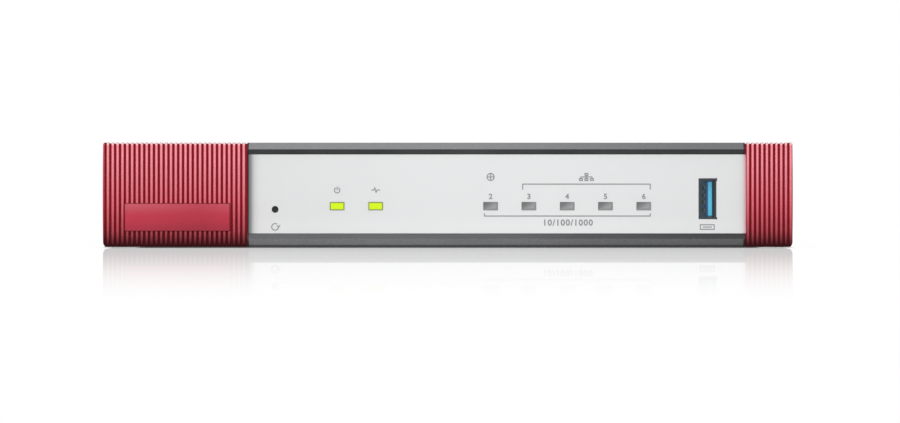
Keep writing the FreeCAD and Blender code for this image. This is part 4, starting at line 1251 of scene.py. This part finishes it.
@dataclass
class Studio:
    """Floor, light, world and camera."""

    distance: float = 1000.0
    field: float = 281.5
    eye_height: float = 16.75
    eye_x: float = 0.7
    lift: float = 0.0189
    aim: Point = (0.0, 0.0, 0.02)

    def camera(self) -> None:
        """Puts the camera straight in front of the middle of the front."""
        low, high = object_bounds()
        data = bpy.data.cameras.new("camera")
        data.sensor_width = 36.0
        data.lens = data.sensor_width * self.distance / self.field
        data.shift_y = -self.lift
        data.clip_end = 20.0
        camera = added("camera", data)
        camera.location = (self.eye_x * MM, low[1] - self.distance * MM, self.eye_height * MM)
        camera.rotation_euler = (radians(90), 0, 0)
        bpy.context.scene.camera = camera

    def panel(self, name: str, place: Point, size: Pair, power: float) -> None:
        """Adds a soft light panel that faces the object."""
        data = bpy.data.lights.new(name, "AREA")
        data.shape = "RECTANGLE"
        data.size, data.size_y = size
        data.energy = power
        lamp = added(name, data)
        lamp.location = place
        direction = Vector(self.aim) - Vector(place)
        lamp.rotation_euler = direction.to_track_quat("-Z", "Y").to_euler()
        lamp.visible_camera = False

    def lights(self) -> None:
        """Hangs the panels."""
        for name, place, size, power in (
                ("key", (-0.25, -1.0, 1.35), (1.8, 0.9), 10.0),
                ("front", (0.0, -2.2, 0.55), (2.4, 1.0), 11.0),
                ("strip", (-0.1, -0.45, 1.1), (1.5, 0.12), 3.0),
                ("rear", (0.2, 1.7, 1.2), (2.2, 1.0), 14.0),
                ("left", (-1.8, 0.0, 0.8), (1.2, 1.0), 3.0),
                ("right", (1.8, 0.0, 0.8), (1.2, 1.0), 3.0)):
            self.panel(name, place, size, power)

    @staticmethod
    def rays(paint: Paint) -> Tuple[Wire, Wire]:
        """Returns 1 for the camera's own rays, and 1 for what is seen, also by mirror or glass."""
        path = paint.node("LightPath")
        camera, glossy, clear = (Wire(paint, path.outputs["Is %s Ray" % kind])
                                 for kind in ("Camera", "Glossy", "Transmission"))
        return camera, camera.largest(glossy).largest(clear)

    def world(self) -> None:
        """Makes the surroundings white to look at and soft grey as light."""
        world = bpy.data.worlds.new("surroundings")
        paint = Paint(world)
        light = paint.make("Background", {"Color": (0.42, 0.42, 0.43)})
        white = paint.make("Background", {"Color": WHITE})
        mix = paint.make("MixShader", {0: self.rays(paint)[1], 1: light, 2: white})
        paint.node("OutputWorld", {"Surface": mix})
        bpy.context.scene.world = world

    def floor_finish(self) -> Material:
        """Returns white laminate with a mirror image that fades and a shadow under the object."""
        material = bpy.data.materials.new("white_table")
        paint = Paint(material)
        x, y, z = paint.axes()
        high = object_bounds()[1]
        outside_x = (abs(x) - high[0] / MM).largest(0.0)
        outside_y = (abs(y) - high[1] / MM).largest(0.0)
        away = outside_x.largest(outside_y)
        grazing = paint.make("LayerWeight", {"Blend": 0.5}, "Facing")
        image = (1 - away.ramp(40.0, 520.0)) * grazing ** 4.0 * 0.44
        shadow = 1 - away.ramp(0.0, 2.0)
        plain = (away.ramp(60.0, 700.0) * 0.06 + 0.94) * (1 - shadow * 0.8)
        camera, seen = self.rays(paint)
        matt = paint.make("BsdfDiffuse", {"Color": (0.86, 0.86, 0.86)})
        white = paint.make("Emission", {"Color": WHITE, "Strength": 1.0})
        mirror = paint.make("BsdfGlossy", {"Color": WHITE, "Roughness": 0.015})
        bare = paint.make("MixShader", {0: seen * plain, 1: matt, 2: white})
        surface = paint.make("MixShader", {0: image * camera, 1: bare, 2: mirror})
        paint.node("OutputMaterial", {"Surface": surface})
        return material

    def floor(self) -> None:
        """Lays the floor."""
        form = bmesh.new()
        bmesh.ops.create_grid(form, x_segments=1, y_segments=1, size=6.0)
        mesh = meshed("floor", form)
        mesh.materials.append(self.floor_finish())
        floor = added("floor", mesh)
        floor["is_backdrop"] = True

    def build(self) -> None:
        """Sets everything up."""
        self.camera()
        self.lights()
        self.world()
        self.floor()
        bpy.context.scene.view_settings.view_transform = "Standard"


# ---------------- finishes of the pieces

def finishes() -> Looks:
    """Returns the finish of every material slot."""
    low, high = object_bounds()
    rows = (
        # frame: outer bands, lower inner band, painted shade of the upper inner band, painted shade
        # of the foot and gaps
        Bezel("frame_grey", rgb(121, 122, 123), rgb(66, 67, 70), rgb(24, 25, 27), rgb(38, 34, 36)),
        # faceplate: its colour, and the pink of the painted reflection of the right cap
        Silver("plate_silver", rgb(208, 209, 209), rgb(222, 150, 155)),
        # caps: the crests' red, and the grooves' dark red as painted shade
        RibbedGloss("cap_red", rgb(196, 58, 76), rgb(136, 10, 26), low[1] / MM + 0.2, 0.8,
                    high[0] / MM),
        # nameplate: the foot, middle and top colours of its painted shading
        Gradient("nameplate_red", rgb(147, 28, 48), rgb(171, 38, 58), rgb(180, 53, 71), 5.4, 13.9),
        Lens("lamp_green", rgb(211, 242, 14), rgb(134, 150, 76), 0.5, LIT_LAMPS[0],
             LIT_LAMPS[1] - LIT_LAMPS[0], 0.28),
        # dark port lamps: lens colour, and the painted shade of its rim
        Lens("lamp_clear", rgb(156, 158, 158), rgb(108, 110, 110), 0.0, PORT_X, PORT_PITCH, 0.9),
        Moulded("holder_black", rgb(30, 30, 32)),
        Moulded("lamp_chip", rgb(235, 232, 200), 0.4),
        Metal("usb_steel", rgb(176, 190, 200), 0.38, (1, 6, 1), metallic=0.7),
        Metal("usb_rim", rgb(46, 46, 54), 0.5, metallic=0.2),
        # socket tongue: nose, painted shade of the flanks, and its painted glow further back
        Tongue("usb_blue", rgb(80, 190, 226), rgb(8, 54, 90), rgb(128, 148, 158), 82.35, 0.72,
               -69.5, 20.7),
        Metal("gold", rgb(150, 130, 88), 0.4),
        Moulded("button_black", rgb(28, 28, 30)),
        Moulded("button_grey", rgb(70, 70, 74)),
        Powder("cover_grey", rgb(88, 90, 94)),
        Powder("tray_grey", rgb(82, 84, 88)),
        Powder("panel_grey", rgb(92, 94, 98)),
        Rubber("foot_rubber", rgb(22, 22, 24)),
        Metal("screw_black", rgb(60, 60, 64), 0.35),
        Metal("screw_steel", rgb(190, 190, 192), 0.3),
        Laminate("board_green", rgb(14, 78, 44), rgb(30, 112, 66), rgb(214, 190, 120)),
        Metal("standoff_brass", rgb(204, 170, 96), 0.3),
        Moulded("chip_black", rgb(26, 26, 28), 0.5, 0.2, 0.01),
        Rubber("pad_grey", rgb(130, 136, 144)),
        Metal("sink_aluminium", rgb(196, 198, 202), 0.4, (1, 6, 1)),
        Moulded("pin_black", rgb(20, 20, 22)),
        Metal("can_aluminium", rgb(210, 212, 216), 0.28),
        Moulded("coil_grey", rgb(64, 64, 66), 0.7, 0.4, 0.04),
        Moulded("jack_black", rgb(26, 26, 28), 0.42),
        Metal("shield_steel", rgb(196, 198, 200), 0.24, (6, 1, 1)),
        Metal("terminal_brass", rgb(210, 196, 160), 0.3),
        Moulded("switch_black", rgb(22, 22, 24), 0.38),
        Moulded("print_grey", rgb(134, 135, 138), 0.5, 0.2, 0.004, 0.03),
        Moulded("print_pale", rgb(214, 214, 216), 0.5, 0.2, 0.004, 0.03),
    )
    return {row.name: row.build() for row in rows}


def dress_nodes(frame: dict, look: Looks) -> None:
    """Gives every CAD node the finish of its slot."""
    for name, piece in frame["nodes"].items():
        NODES[name] = piece.name
        for holder in piece.material_slots:
            key = holder.material.name.split(".")[0]
            for slot, material in look.items():
                if key.endswith(slot):
                    holder.material = material
        LOG.info("node %s: %s", name, [s.material.name for s in piece.material_slots])


def main() -> None:
    """Builds the scene."""
    logging.basicConfig(level=logging.INFO)
    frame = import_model()
    Studio().build()
    look = finishes()
    dress_nodes(frame, look)
    row = Row()
    Front(look, row).build()
    Fixings(look, row).build()
    Rear(look).build()


if __name__ == "__main__":
    main()
